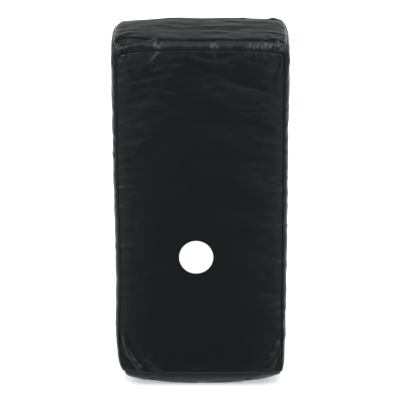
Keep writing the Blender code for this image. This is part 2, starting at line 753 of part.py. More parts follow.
def build_handles(parts, cutters):
    webbing = new_material("webbing", (0.016, 0.016, 0.017), 0.7)
    patch = new_material("patch_fabric", (0.020, 0.021, 0.021), 0.5)
    rubber = new_material("sleeve_rubber", (0.022, 0.022, 0.023), 0.6)
    forearm = handle_frame(FOREARM_X, HANDLES_HEIGHT, upright=True)
    sizes = (FOREARM_HALF_SPAN, FOREARM_RISE, FOREARM_WIDTH, FOREARM_THICKNESS)
    add_handle("forearm_strap", forearm, *sizes, parts, webbing, patch)
    grip = handle_frame(GRIP_X, HANDLES_HEIGHT, upright=True)
    add_grip("hand_grip", grip, parts, webbing, patch, rubber, cutters)
    carry = handle_frame(0.0, CARRY_HEIGHT, upright=False)
    add_grip("carry_handle", carry, parts, webbing, patch, rubber, cutters)


def main():
    clear_scene()
    parts = new_collection("hit_shield")
    cutters = new_collection("cutters")
    soft_foam = new_material("soft_foam", (0.55, 0.56, 0.58), 0.9)
    firm_foam = new_material("firm_foam", (0.30, 0.36, 0.46), 0.9)
    tape = new_material("zip_tape", (0.014, 0.014, 0.015), 0.8)
    teeth = new_material("zip_teeth", (0.020, 0.020, 0.021), 0.4)
    metal = new_material("zip_metal", (0.30, 0.30, 0.31), 0.3, 1.0)
    build_cover(parts, cutters)
    add_foam_layers(parts, soft_foam, firm_foam, cutters)
    add_zip(parts, tape, teeth, metal, cutters)
    build_handles(parts, cutters)


main()
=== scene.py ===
"""Hit shield: the finished look of every piece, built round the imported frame.

Metres. +Z is up, the struck face looks along -Y, and the origin is the middle of the flat base.
"""

import logging
import math
from abc import ABC, abstractmethod
from dataclasses import dataclass, field
from enum import Enum
from typing import Callable, ClassVar, Iterable, Sequence

import bmesh
import bpy
import numpy as np
from mathutils import Matrix, Vector


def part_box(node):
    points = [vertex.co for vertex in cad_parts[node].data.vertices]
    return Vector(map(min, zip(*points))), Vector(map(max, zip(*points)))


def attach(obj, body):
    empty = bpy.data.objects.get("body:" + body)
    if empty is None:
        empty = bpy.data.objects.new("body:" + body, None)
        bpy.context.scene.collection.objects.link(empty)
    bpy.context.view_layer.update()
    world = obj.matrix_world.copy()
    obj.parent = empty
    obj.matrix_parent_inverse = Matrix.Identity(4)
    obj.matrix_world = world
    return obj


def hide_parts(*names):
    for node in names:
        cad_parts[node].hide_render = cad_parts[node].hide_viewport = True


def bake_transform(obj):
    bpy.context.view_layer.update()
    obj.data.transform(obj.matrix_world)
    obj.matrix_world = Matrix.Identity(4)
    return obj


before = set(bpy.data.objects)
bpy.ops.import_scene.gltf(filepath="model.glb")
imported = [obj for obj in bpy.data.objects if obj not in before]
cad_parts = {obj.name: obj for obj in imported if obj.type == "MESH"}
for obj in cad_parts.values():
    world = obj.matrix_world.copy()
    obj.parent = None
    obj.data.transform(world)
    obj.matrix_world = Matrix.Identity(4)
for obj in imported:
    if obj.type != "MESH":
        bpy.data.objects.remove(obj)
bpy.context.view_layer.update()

LOG = logging.getLogger("hit_shield")
CLOTH_PLACES = "cloth_places"  # the attribute that holds a point's place on the flat cloth, in metres
SEAM_SHARE = "seam_share"  # the attribute that is 1 in the seams and 0 away from them
SHIELD_BODY = "shield"
MILLIMETRE = 0.001
TURN = 2 * math.pi

Array = np.ndarray
Grid = tuple[Array, Array]  # points and faces
Place = tuple[float, float]
Triple = tuple[float, float, float]
Colour = Triple

REARWARD = np.array([0.0, 1.0, 0.0])


class Side(Enum):
    """The sides of the cover."""

    FRONT = "front"
    TOP = "top"
    BOTTOM = "bottom"
    LEFT = "left"
    RIGHT = "right"
    REAR = "rear"

    @property
    def is_upright_strip(self) -> bool:
        """True for the two boxing panels that run up the shield."""
        return self in (Side.LEFT, Side.RIGHT)

    @property
    def is_boxing(self) -> bool:
        """True for the four panels that run round the block, and False for the front and the rear."""
        return self not in (Side.FRONT, Side.REAR)

    @property
    def way(self) -> float:
        """-1 for the left and the bottom, and 1 for the others."""
        return -1.0 if self in (Side.LEFT, Side.BOTTOM) else 1.0


BOXING_SIDES = (Side.TOP, Side.BOTTOM, Side.LEFT, Side.RIGHT)


def smooth_step(low: float, high: float, value: Array) -> Array:
    """Rises smoothly from 0 at low to 1 at high.

    Args:
        low: Where the rise starts.
        high: Where it ends.
        value: The places to read.

    Returns:
        The rise at each place.
    """
    share = np.clip((value - low) / (high - low), 0.0, 1.0)
    return share * share * (3.0 - 2.0 * share)


def graded(length: float, fine: float, coarse: float, growth: float = 1.35) -> Array:
    """Places from 0 to a length, close together at both ends.

    Args:
        length: The whole length.
        fine: The first and the last step.
        coarse: The step in the middle.
        growth: How much longer each step is than the one before, until it is coarse.

    Returns:
        The places in order.
    """
    steps: list[float] = []
    step = fine
    while step < coarse and 2 * (sum(steps) + step) < length:
        steps.append(step)
        step *= growth
    rest = length - 2 * sum(steps)
    count = max(1, round(rest / coarse))
    return np.concatenate([[0.0], np.cumsum(steps + [rest / count] * count + steps[::-1])])


def grid_faces(rows: int, columns: int, flip: bool = False, wrap: bool = False, loop: bool = False) -> Array:
    """The quads of a grid of points.

    Args:
        rows: How many rows of points.
        columns: How many points in a row.
        flip: True to turn the faces over.
        wrap: True where each row closes on itself.
        loop: True where the last row meets the first.

    Returns:
        Four point numbers for each quad.
    """
    index = np.arange(rows * columns).reshape(rows, columns)
    if wrap:
        index = np.concatenate([index, index[:, :1]], axis=1)
    if loop:
        index = np.concatenate([index, index[:1]])
    corners = [index[:-1, :-1], index[:-1, 1:], index[1:, 1:], index[1:, :-1]]
    quads = np.stack(corners, axis=-1).reshape(-1, 4)
    return quads[:, ::-1] if flip else quads


def capped_faces(rows: int, columns: int, flip: bool = False) -> list[Array]:
    """The quads of a grid whose rows close on themselves, with one face over each end.

    Args:
        rows: How many rows of points.
        columns: How many points in a row.
        flip: True to turn the faces over.

    Returns:
        The point numbers of each face.
    """
    ends = [np.arange(columns)[::-1], np.arange(columns) + (rows - 1) * columns]
    if flip:
        ends = [end[::-1] for end in ends]
    return [*grid_faces(rows, columns, flip, wrap=True), *ends]


def mesh_object(
    name: str, points: Array, faces: Iterable, places: Array | None = None, closed: bool = False
) -> bpy.types.Object:
    """Makes a smooth-shaded object from points and faces.

    Args:
        name: The object's name.
        points: The points, in metres, in the shield's frame.
        faces: Point numbers for each face.
        places: Each point's place on the flat cloth, where the piece is cloth.
        closed: True to turn the faces of its closed shapes outward.

    Returns:
        The new object, linked to the scene.
    """
    mesh = bpy.data.meshes.new(name)
    mesh.from_pydata(np.asarray(points).reshape(-1, 3).tolist(), [], [list(map(int, f)) for f in faces])
    if places is not None:
        flat = np.asarray(places).reshape(-1, 2)
        full = np.pad(flat, ((0, 0), (0, 1))).astype(np.float32)
        mesh.attributes.new(CLOTH_PLACES, "FLOAT_VECTOR", "POINT").data.foreach_set("vector", full.ravel())
    mesh.shade_smooth()
    mesh.update()
    if closed:
        turned = bmesh.new()
        turned.from_mesh(mesh)
        bmesh.ops.recalc_face_normals(turned, faces=turned.faces)
        turned.to_mesh(mesh)
        turned.free()
    made = bpy.data.objects.new(name, mesh)
    bpy.context.scene.collection.objects.link(made)
    return made


@dataclass(frozen=True)
class Corner:
    """How far one corner of the block is drawn in: at the front seam, round the body and at the rear seam.

    "side" is towards the middle of the width and "end" towards the middle of the height. Lengths are in
    millimetres, and a high power keeps the draw-in close to the corner.
    """

    seam_side: float
    seam_end: float
    seam_power: float
    side: float
    side_power: float
    end: float
    tip: float
    tip_power: float
    rear_side: float
    rear_end: float
    end_power: float = 3.0
    seam_side_power: ClassVar[int] = 14
    rear_side_power: ClassVar[int] = 12
    rear_end_power: ClassVar[int] = 2
    rearward_power: ClassVar[float] = 1.5

    def draw(self, across: Array, up: Array, turned: Array, back: Array) -> tuple[Array, Array]:
        """How far points near the corner are drawn in, in metres.

        Args:
            across: Shares of the half width, without their sign.
            up: Shares of the half height, without their sign.
            turned: How far the roll has risen, from 0 to 1.
            back: Shares of the depth behind the roll.

        Returns:
            How far towards the middle of the width and of the height.
        """
        back = back**self.rearward_power
        seam_side = self.seam_side * up**self.seam_side_power
        body_side = self.side * up**self.side_power
        seam_end = self.seam_end * across**self.seam_power
        body_end = self.end * across**self.end_power + self.tip * across**self.tip_power
        side = seam_side + (body_side - seam_side) * turned
        end = seam_end + (body_end - seam_end) * turned
        side = side + (self.rear_side * up**self.rear_side_power - body_side) * back
        end = end + (self.rear_end * across**self.rear_end_power - body_end) * back
        return side * MILLIMETRE, end * MILLIMETRE


TOP_LEFT = Corner(2.0, 11.0, 4.0, 1.5, 14, 6.0, 3.0, 14, 5.0, 8.0)
TOP_RIGHT = Corner(0.0, 10.0, 4.6, 2.5, 16, 4.0, 4.0, 14, 1.5, 4.0)
BASE_LEFT = Corner(9.0, 6.5, 12.0, 18.0, 10, 14.5, 10.0, 14, 14.0, 9.0, end_power=2.2)
BASE_RIGHT = Corner(-0.5, 2.3, 10.0, 8.0, 13, 14.0, 9.5, 6, 9.0, 9.0, end_power=2.2)
CORNERS = (TOP_LEFT, TOP_RIGHT, BASE_LEFT, BASE_RIGHT)


@dataclass(frozen=True)
class ShieldForm:
    """The cover's outer form: a block whose boxing rolls over its front edge, with drawn-in corners."""

    height: float = 0.750
    width: float = 0.355
    depth: float = 0.155
    front_side_swell: float = 0.0095
    front_seam_inset: float = 0.031
    rear_side_swell: float = 0.007
    rear_seam_inset: float = 0.0055
    roll_depth: float = 0.028
    roll_cloth: float = 0.040  # the boxing's length over the roll
    roll_power: float = 2.2
    top_roll_power: float = 0.8  # added along the top, where the roll is squarer
    top_roll_from: float = 0.75
    top_fall: float = 0.0095  # the top is this much lower where it meets the roll
    top_fall_power: float = 1.15
    top_spread: float = 0.0012  # the sides stand out this much more near the top
    top_spread_over: Place = (0.2, 0.9)
    base_taper: float = 0.0012  # and this much less near the base
    base_taper_over: Place = (-0.1, -0.8)
    left_waist: float = 0.0044  # the left side is drawn in this much about its lower third
    waist_middle: float = -0.30
    waist_reach: float = 0.42
    front_crown: float = 0.006
    base_flattening: float = 0.0005
    crown_side_power: int = 6
    rear_fall_power: int = 4
    corner_radius: float = 0.0075
    least_radius: float = 1e-6
    normal_step: float = 0.4 * MILLIMETRE

    @property
    def middle_z(self) -> float:
        """Half the height."""
        return self.height / 2

    @property
    def front_y(self) -> float:
        """The plane of the front seam."""
        return -self.depth / 2

    @property
    def rear_y(self) -> float:
        """The plane of the rear panel."""
        return self.depth / 2

    @property
    def roll_share(self) -> float:
        """The roll's share of the depth."""
        return self.roll_depth / self.depth

    @property
    def front_half(self) -> Place:
        """Half the width and half the height between the front seams."""
        return self.width / 2 - self.front_side_swell, self.middle_z - self.front_seam_inset

    @property
    def rear_half(self) -> Place:
        """Half the width and half the height between the rear seams."""
        return self.width / 2 - self.rear_side_swell, self.middle_z - self.rear_seam_inset

    def half_sizes(self, side: Side) -> Place:
        """A side's half length along it, and its half height or, on the boxing, its whole depth of cloth."""
        if not side.is_boxing:
            return self.front_half if side is Side.FRONT else self.rear_half
        boxing_cloth = self.roll_cloth + self.depth - self.roll_depth
        return self.front_half[1 if side.is_upright_strip else 0], boxing_cloth

    def roll_rise(self, turned: Array, up: Array) -> Array:
        """How far the boxing has risen over its roll, which is squarer along the top.

        Args:
            turned: Shares of the roll, from 0 at the front seam.
            up: Shares of the half height, with their sign.

        Returns:
            The rise, from 0 at the front seam to 1 where the roll ends.
        """
        power = self.roll_power + self.top_roll_power * smooth_step(self.top_roll_from, 1.0, up)
        return (1.0 - (1.0 - np.clip(turned, 0.0, 1.0)) ** power) ** (1.0 / power)

    def swept_half(self, front: float, full: Array | float, rear: float, turned: Array, back: Array) -> Array:
        """Half a size of the form: a rounded rise over the roll, then a slow fall to the rear seam.

        Args:
            front: The half size at the front seam.
            full: The half size where the roll ends, or one for each point.
            rear: The half size at the rear seam.
            turned: How far the roll has risen, from 0 to 1.
            back: Shares of the depth behind the roll.

        Returns:
            The half size at each depth.
        """
        return front + (full - front) * turned - (full - rear) * back**self.rear_fall_power

    def depth_of(self, back: Array) -> Array:
        """The share of the depth at places measured back from the front seam along the boxing."""
        turn = np.clip(back / self.roll_cloth, 0.0, 1.0) * math.pi / 2
        beyond = np.clip(back - self.roll_cloth, 0.0, None)
        return self.roll_share * (1.0 - np.cos(turn)) + beyond / self.depth

    def points(self, across: Array, depth: Array, up: Array, inset: float = 0.0) -> Array:
        """Points of the form, or inset below it.

        Args:
            across: Shares from -1 at the left to 1 at the right.
            depth: Shares from 0 at the front seam to 1 at the rear one.
            up: Shares from -1 at the base to 1 at the top.
            inset: How far below the form.

        Returns:
            The points, with the coordinates last.
        """
        across, depth, up = np.broadcast_arrays(across, depth, up)
        turned = self.roll_rise(depth / self.roll_share, up)
        behind = np.clip((depth - self.roll_share) / (1.0 - self.roll_share), 0.0, 1.0)
        taper = self.base_taper * smooth_step(*self.base_taper_over, up)
        full_width = self.width / 2 + (self.top_spread * smooth_step(*self.top_spread_over, up) - taper)
        to_rear = (1.0 - depth) / (1.0 - self.roll_share)
        top_full = self.middle_z - self.top_fall * to_rear**self.top_fall_power
        full_height = np.where(up > 0, top_full, self.middle_z + self.base_flattening)
        fulls = zip(self.front_half, (full_width, full_height), self.rear_half)
        half_width, half_height = (self.swept_half(*full, turned, behind) for full in fulls)
        waist = self.left_waist * np.exp(-(((up - self.waist_middle) / self.waist_reach) ** 2))
        half_width = half_width - np.where(across < 0, waist * np.abs(across), 0.0)
        draws = [corner.draw(np.abs(across), np.abs(up), turned, behind) for corner in CORNERS]
        which = np.where(up > 0, 0, 2) + np.where(across > 0, 1, 0)
        reach_x = half_width - inset - np.choose(which, [draw[0] for draw in draws])
        reach_z = half_height - inset - np.choose(which, [draw[1] for draw in draws])
        gap_x, gap_z = (1.0 - np.abs(across)) * reach_x, (1.0 - np.abs(up)) * reach_z
        gap_x, gap_z = self.round_corner(gap_x, gap_z, inset)
        x = np.sign(across) * (reach_x - gap_x)
        z = self.middle_z + np.sign(up) * (reach_z - gap_z)
        over_front = (1 - np.clip(depth / self.roll_share, 0, 1)) ** 2
        crown = self.front_crown * (1 - np.abs(across) ** self.crown_side_power) * over_front
        y = self.front_y + depth * self.depth + inset - crown
        return np.stack([x, y, np.maximum(z, inset)], axis=-1)

    def round_corner(self, gap_x: Array, gap_z: Array, inset: float) -> tuple[Array, Array]:
        """Rounds the block's four long corners.

        Args:
            gap_x: How far points lie from the block's side.
            gap_z: How far they lie from its top or base.
            inset: How far below the form they are.

        Returns:
            The two distances once the corners are round.
        """
        inner = np.maximum(np.minimum(gap_x, gap_z), 0.0)
        beyond = np.maximum(gap_x, gap_z) - inner
        radius = np.maximum(self.corner_radius - inset - inner, self.least_radius)
        along = np.clip(beyond / radius, 0.0, 1.0)
        angle = math.pi / 4 * (1.0 + along)
        run = np.where(along < 1.0, radius * (1.0 - np.cos(angle)), beyond)
        drop = np.where(along < 1.0, radius * (1.0 - np.sin(angle)), 0.0)
        level = gap_z < gap_x
        return inner + np.where(level, run, drop), inner + np.where(level, drop, run)

    def surface(self, side: Side, a: Array, b: Array, inset: float = 0.0) -> Array:
        """Points of a side at places on its flat cloth.

        Args:
            side: The side.
            a: Places along it, from its middle.
            b: Places up it from the middle of the height or, on the boxing, back from the front seam.
            inset: How far below the form.

        Returns:
            The points.
        """
        half_along, half_up = self.half_sizes(side)
        along = a / half_along
        level = np.zeros_like(a)
        if not side.is_boxing:
            return self.points(along, level + (0.0 if side is Side.FRONT else 1.0), b / half_up, inset)
        depth = self.depth_of(b)
        if side.is_upright_strip:
            return self.points(level + side.way, depth, along, inset)
        return self.points(along, depth, level + side.way, inset)

    def normals(self, side: Side, a: Array, b: Array) -> Array:
        """Outward normals of a side at places on its flat cloth.

        Args:
            side: The side.
            a: Places along it.
            b: Places up it or back along it.

        Returns:
            Unit normals.
        """
        half_along, half_up = self.half_sizes(side)
        low_up = 0.0 if side.is_boxing else -half_up

        def run(step_a: float, step_b: float) -> Array:
            """How the form runs over two steps, held to the side."""
            ends = [
                self.surface(
                    side,
                    np.clip(a + way * step_a, -half_along, half_along),
                    np.clip(b + way * step_b, low_up, half_up),
                )
                for way in (1, -1)
            ]
            return ends[0] - ends[1]

        normal = np.cross(run(self.normal_step, 0.0), run(0.0, self.normal_step))
        normal /= np.linalg.norm(normal, axis=-1, keepdims=True) + 1e-12
        outward = self.surface(side, a, b) - np.array([0.0, 0.0, self.middle_z])
        return normal * np.sign(np.sum(normal * outward, axis=-1, keepdims=True))


class Relief(ABC):
    """A rise or a fall of the cloth over a side."""

    @abstractmethod
    def height(self, a: Array, b: Array) -> Array:
        """How far the cloth stands out at places on it.

        Args:
            a: Places along the side.
            b: Places up it or, on the boxing, back along it.

        Returns:
            The rise at each place, in metres.
        """


@dataclass(frozen=True)
class Fold(Relief):
    """A fold that leaves its start sharply and opens and fades towards its end."""

    start: Place
    end: Place
    width: float = 0.006
    rise: float = 0.0015
    bow: float = 0.0
    opening: float = 0.9
    trough: float = 0.45
    sharpness: float = 1.5
    grows: ClassVar[Place] = (-0.10, 0.12)
    fades: ClassVar[Place] = (0.5, 1.1)
    trough_reach: ClassVar[float] = 2.2

    def height(self, a: Array, b: Array) -> Array:
        """How far the fold stands out: a crest between two troughs. Args and Returns as for a Relief."""
        run_a, run_b = self.end[0] - self.start[0], self.end[1] - self.start[1]
        length = math.hypot(run_a, run_b)
        share = ((a - self.start[0]) * run_a + (b - self.start[1]) * run_b) / length**2
        off = ((a - self.start[0]) * run_b - (b - self.start[1]) * run_a) / length
        off = off - self.bow * 4 * share * (1 - share)
        width = self.width * (1 + self.opening * np.clip(share, 0.0, 1.0))
        strength = smooth_step(*self.grows, share) * (1 - smooth_step(*self.fades, share))
        reach = np.abs(off / width)
        trough = self.trough * np.exp(-((reach / self.trough_reach) ** 2))
        return self.rise * strength * (np.exp(-(reach**self.sharpness)) - trough)


@dataclass(frozen=True)
class Edge:
    """One edge of a side, at which it is sewn to the next."""

    along_a: bool
    offset: float

    def measure(self, a: Array, b: Array) -> tuple[Array, Array]:
        """How far along the edge places lie, and how far from it."""
        along, other = (a, b) if self.along_a else (b, a)
        return along, np.abs(other - self.offset)


@dataclass(frozen=True)
class Pucker:
    """A short ridge that a seam gathers up, square to it or leaning."""

    place: float
    rise: float
    width: float
    reach: float
    lean: float = 0.0


@dataclass(frozen=True)
class Gathers(Relief):
    """The puckers along one edge."""

    edge: Edge
    puckers: tuple[Pucker, ...]
    opening: ClassVar[float] = 0.9
    trough: ClassVar[float] = 0.4
    trough_reach: ClassVar[float] = 2.0
    fading: ClassVar[float] = 1.4
    sharpness: ClassVar[float] = 1.5
    sewn: ClassVar[Place] = (-0.001, 0.003)

    def height(self, a: Array, b: Array) -> Array:
        """How far the puckers stand out. Args and Returns as for a Relief."""
        along, away = self.edge.measure(a, b)
        total = np.zeros_like(a)
        for pucker in self.puckers:
            near = np.abs(along - pucker.place) < 5 * pucker.width + pucker.reach * (1 + abs(pucker.lean))
            near &= away < 4 * pucker.reach
            if not near.any():
                continue
            d = away[near]
            width = pucker.width * (1 + self.opening * d / pucker.reach)
            off = np.abs(along[near] - pucker.place - pucker.lean * d) / width
            fading = np.exp(-((d / pucker.reach) ** self.fading)) * smooth_step(*self.sewn, d)
            trough = self.trough * np.exp(-((off / self.trough_reach) ** 2))
            total[near] += pucker.rise * fading * (np.exp(-(off**self.sharpness)) - trough)
        return total


def seeded_puckers(
    seed: int, low: float, high: float, spacing: float, rise: float, width: float, reach: float
) -> tuple[Pucker, ...]:
    """Puckers at uneven places along an edge.

    Args:
        seed: Fixes the draw.
        low: Where the stretch starts.
        high: Where it ends.
        spacing: Their mean distance.
        rise: Their mean height.
        width: Their mean width.
        reach: How far they reach from the edge on average.

    Returns:
        The puckers.
    """
    draw = np.random.default_rng(seed)
    made = []
    place = low + spacing * draw.uniform(0.2, 1.0)
    while place < high:
        height = rise * draw.uniform(0.25, 1.5) * draw.choice((1.0, 1.0, -0.7))
        broad, far = width * draw.uniform(0.7, 1.4), reach * draw.uniform(0.4, 1.6)
        made.append(Pucker(place, height, broad, far, draw.uniform(-0.5, 0.5)))
        place += spacing * draw.uniform(0.35, 1.7)
    return tuple(made)


@dataclass(frozen=True)
class Shoulder(Relief):
    """The cloth rolling over into the seam at an edge."""

    edge: Edge
    drop: float = 0.0020
    reach: float = 0.0042

    def height(self, a: Array, b: Array) -> Array:
        """How far the cloth rolls down to the seam. Args and Returns as for a Relief."""
        share = np.clip(1.0 - self.edge.measure(a, b)[1] / self.reach, 0.0, 1.0)
        return -self.drop * (1.0 - np.sqrt(1.0 - share**2))


@dataclass(frozen=True)
class Zone:
    """A rounded region of a side, with soft limits."""

    middle: Place
    reach: Place
    outside: bool = False
    soft_limits: ClassVar[Place] = (0.6, 1.15)

    def share(self, a: Array, b: Array) -> Array:
        """1 inside the region and 0 outside it, or the other way round."""
        away = np.hypot((a - self.middle[0]) / self.reach[0], (b - self.middle[1]) / self.reach[1])
        beyond = smooth_step(*self.soft_limits, away)
        return beyond if self.outside else 1 - beyond


@dataclass(frozen=True)
class Ripples(Relief):
    """Uneven waves in the cloth, soft or drawn up into creases."""

    seed: int
    scale: Place
    rise: float
    creased: float = 0.0
    waves: int = 16
    zone: Zone | None = None
    lengths: ClassVar[Place] = (0.55, 1.6)

    def height(self, a: Array, b: Array) -> Array:
        """How far the waves stand out. Args and Returns as for a Relief."""
        draw = np.random.default_rng(self.seed)
        total = np.zeros_like(a)
        for _ in range(self.waves):
            angle, phase = draw.uniform(0, TURN, 2)
            turns = draw.uniform(*self.lengths)
            wave_a, wave_b = math.cos(angle) / self.scale[0], math.sin(angle) / self.scale[1]
            total += np.cos(TURN * turns * (a * wave_a + b * wave_b) + phase)
        soft = total / math.sqrt(self.waves / 2)
        ridged = 0.75 - 1.25 * np.sqrt(soft**2 + 0.02)  # sharp along the crests, and about level on average
        mixed = soft * (1 - self.creased) + ridged * self.creased
        return self.rise * mixed * (1.0 if self.zone is None else self.zone.share(a, b))


@dataclass(frozen=True)
class Dip(Relief):
    """A round hollow or bump."""

    middle: Place
    radius: Place
    rise: float

    def height(self, a: Array, b: Array) -> Array:
        """How far the hollow or bump stands out."""
        away = ((a - self.middle[0]) / self.radius[0]) ** 2 + ((b - self.middle[1]) / self.radius[1]) ** 2
        return self.rise * np.exp(-away)


@dataclass(frozen=True)
class Sampled(Relief):
    """Heights that are known on an even grid, read smoothly between its points."""

    low: Place
    step: Place
    values: Array

    def height(self, a: Array, b: Array) -> Array:
        """How far the cloth stands out between the grid's points. Args and Returns as for a Relief."""
        rows = self.shares((b - self.low[1]) / self.step[1], self.values.shape[0])
        columns = self.shares((a - self.low[0]) / self.step[0], self.values.shape[1])
        total = np.zeros_like(a)
        for row, row_share in rows:
            for column, column_share in columns:
                total += self.values[row, column] * row_share * column_share
        return total

    @staticmethod
    def shares(place: Array, count: int) -> list[tuple[Array, Array]]:
        """The four grid lines round each place, with the share that each has in a smooth curve through them.

        Args:
            place: Places, counted in steps of the grid.
            count: How many lines the grid has.

        Returns:
            Four pairs of a line's number and its share.
        """
        first = np.clip(np.floor(place).astype(int), 0, count - 2)
        t = np.clip(place - first, 0.0, 1.0)
        shares = (
            -0.5 * t + t**2 - 0.5 * t**3,
            1 - 2.5 * t**2 + 1.5 * t**3,
            0.5 * t + 2 * t**2 - 1.5 * t**3,
            -0.5 * t**2 + 0.5 * t**3,
        )
        return [(np.clip(first + k - 1, 0, count - 1), share) for k, share in enumerate(shares)]


@dataclass(frozen=True)
class CalmZone:
    """A rectangle of a side where the cloth is held flat."""

    low: Place
    high: Place
    margin: float = 0.012

    def share(self, a: Array, b: Array) -> Array:
        """0 inside the rectangle, rising to 1 beyond its margin."""
        out_a = np.maximum(np.maximum(self.low[0] - a, a - self.high[0]), 0.0)
        out_b = np.maximum(np.maximum(self.low[1] - b, b - self.high[1]), 0.0)
        return smooth_step(0.0, self.margin, np.hypot(out_a, out_b))


@dataclass(frozen=True)
class VentPlace:
    """Where a vent sits: its side, and its own frame with Z along its normal."""

    name: str
    side: Side
    matrix: Matrix

    def to_own(self, points: Array) -> Array:
        """Points of the shield's frame, in the vent's own."""
        matrix = np.array(self.matrix)
        return (points - matrix[:3, 3]) @ matrix[:3, :3]

    def to_shield(self, points: Array) -> Array:
        """Points of the vent's own frame, in the shield's."""
        matrix = np.array(self.matrix)
        return points @ matrix[:3, :3].T + matrix[:3, 3]


@dataclass(frozen=True)
class VentLayout:
    """The places of the four air vents, from the same sizes as the frame's."""

    form: ShieldForm
    roll_share: float = 0.5
    spacing: float = 0.202
    side_height: float = 0.105
    seat: float = 0.023
    depth_step_share: float = 0.25
    sink: float = 0.0004
    frame_side_draw_in: float = 0.011  # as the frame's base corners are drawn in
    frame_end_draw_in: float = 0.010

    def places(self) -> list[VentPlace]:
        """One place for each vent."""
        out = self.spacing / 2 / (self.form.width / 2 - self.frame_side_draw_in)
        low = (self.side_height - self.form.middle_z) / (self.form.middle_z - self.frame_end_draw_in)
        return [
            self.place("bottom_left", Side.BOTTOM, -out),
            self.place("bottom_right", Side.BOTTOM, out),
            self.place("side_left", Side.LEFT, low),
            self.place("side_right", Side.RIGHT, low),
        ]

    def place(self, name: str, side: Side, along: float) -> VentPlace:
        """One vent, seated as the frame seats it.

        Args:
            name: The vent's name.
            side: Its side.
            along: Its share of the way along that side.

        Returns:
            Its place.
        """
        depth = self.form.roll_share * self.roll_share
        step = self.seat / self.form.height
        back_step = step * self.depth_step_share

        def on_form(share: float, back: float) -> Vector:
            """The form's point at a share of the way along the side and of the depth."""
            across, up = (side.way, share) if side.is_upright_strip else (share, side.way)
            return Vector(self.form.points(np.array(across), np.array(back), np.array(up)))

        along_way = on_form(along + step, depth) - on_form(along - step, depth)
        back_way = on_form(along, depth + back_step) - on_form(along, depth - back_step)
        normal = along_way.cross(back_way).normalized()
        if normal.dot(on_form(along, depth) - Vector((0, 0, self.form.middle_z))) < 0:
            normal.negate()
        first = back_way.normalized()
        turn = Matrix((first, normal.cross(first), normal)).transposed().to_4x4()
        seat = on_form(along, depth) - normal * self.sink
        node_low, node_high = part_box(f"vent_eyelet_{name}")
        middle = (node_low + node_high) / 2
        centred = middle - normal * normal.dot(middle - seat)
        return VentPlace(name, side, Matrix.Translation(centred) @ turn)


@dataclass
class CoverSurface:
    """The cover as sewn: the form with its folds, puckers and seams."""

    form: ShieldForm
    vents: list[VentPlace]
    reliefs: dict[Side, list[Relief]] = field(default_factory=dict)
    calm: dict[Side, list[CalmZone]] = field(default_factory=dict)
    seat_inner: float = 0.0110
    seat_outer: float = 0.0170
    floor_gap: float = 0.05 * MILLIMETRE

    def add(self, side: Side, *reliefs: Relief) -> None:
        """Lays more relief on a side."""
        self.reliefs.setdefault(side, []).extend(reliefs)

    def edge(self, side: Side, other: Side) -> Edge:
        """The edge of a side at which it meets another.

        Args:
            side: The side.
            other: The side that it is sewn to there.

        Returns:
            The edge, on the first side.
        """
        half_along, reach = self.form.half_sizes(side)
        if other.is_upright_strip or (side.is_boxing and other.is_boxing):
            return Edge(False, other.way * half_along)
        if side.is_boxing:
            return Edge(True, 0.0 if other is Side.FRONT else reach)
        return Edge(True, other.way * reach)

    def sew(self, side: Side, other: Side, puckers: tuple[Pucker, ...]) -> None:
        """Lays the same puckers on both sides of a seam.

        Args:
            side: The first side.
            other: The second.
            puckers: The puckers along their seam.
        """
        self.add(side, Gathers(self.edge(side, other), puckers))
        self.add(other, Gathers(self.edge(other, side), puckers))

    def height(self, side: Side, a: Array, b: Array) -> Array:
        """How far the cloth stands out from the form.

        Args:
            side: The side.
            a: Places along it.
            b: Places up it or back along it.

        Returns:
            The rise at each place.
        """
        total = np.zeros_like(a)
        for relief in self.reliefs.get(side, ()):
            total += relief.height(a, b)
        for zone in self.calm.get(side, ()):
            total *= zone.share(a, b)
        return total

    def place(self, side: Side, a: Array, b: Array) -> tuple[Array, Array]:
        """The cloth's points and the form's normals at places on a side.

        Args:
            side: The side.
            a: Places along it.
            b: Places up it or back along it.

        Returns:
            The points and the normals.
        """
        points = self.form.surface(side, a, b)
        normals = self.form.normals(side, a, b)
        points = points + normals * self.height(side, a, b)[..., None]
        for vent in self.vents:
            if vent.side is side:
                points = self.seat_vent(vent, points)
        points[..., 2] = np.maximum(points[..., 2], self.floor_gap)
        return points, normals

    def seat_vent(self, vent: VentPlace, points: Array) -> Array:
        """Draws the cloth flat under a vent.

        Args:
            vent: The vent.
            points: The cloth's points.

        Returns:
            The points, flat under the vent.
        """
        own = vent.to_own(points)
        keep = smooth_step(self.seat_inner, self.seat_outer, np.hypot(own[..., 0], own[..., 1]))
        near = np.abs(own[..., 2]) < self.seat_outer
        own[..., 2] = np.where(near, own[..., 2] * keep, own[..., 2])
        return vent.to_shield(own)


@dataclass(frozen=True)
class Stretch:
    """The part of a side that one panel is cut for."""

    side: Side
    low: Place
    high: Place
    step: float


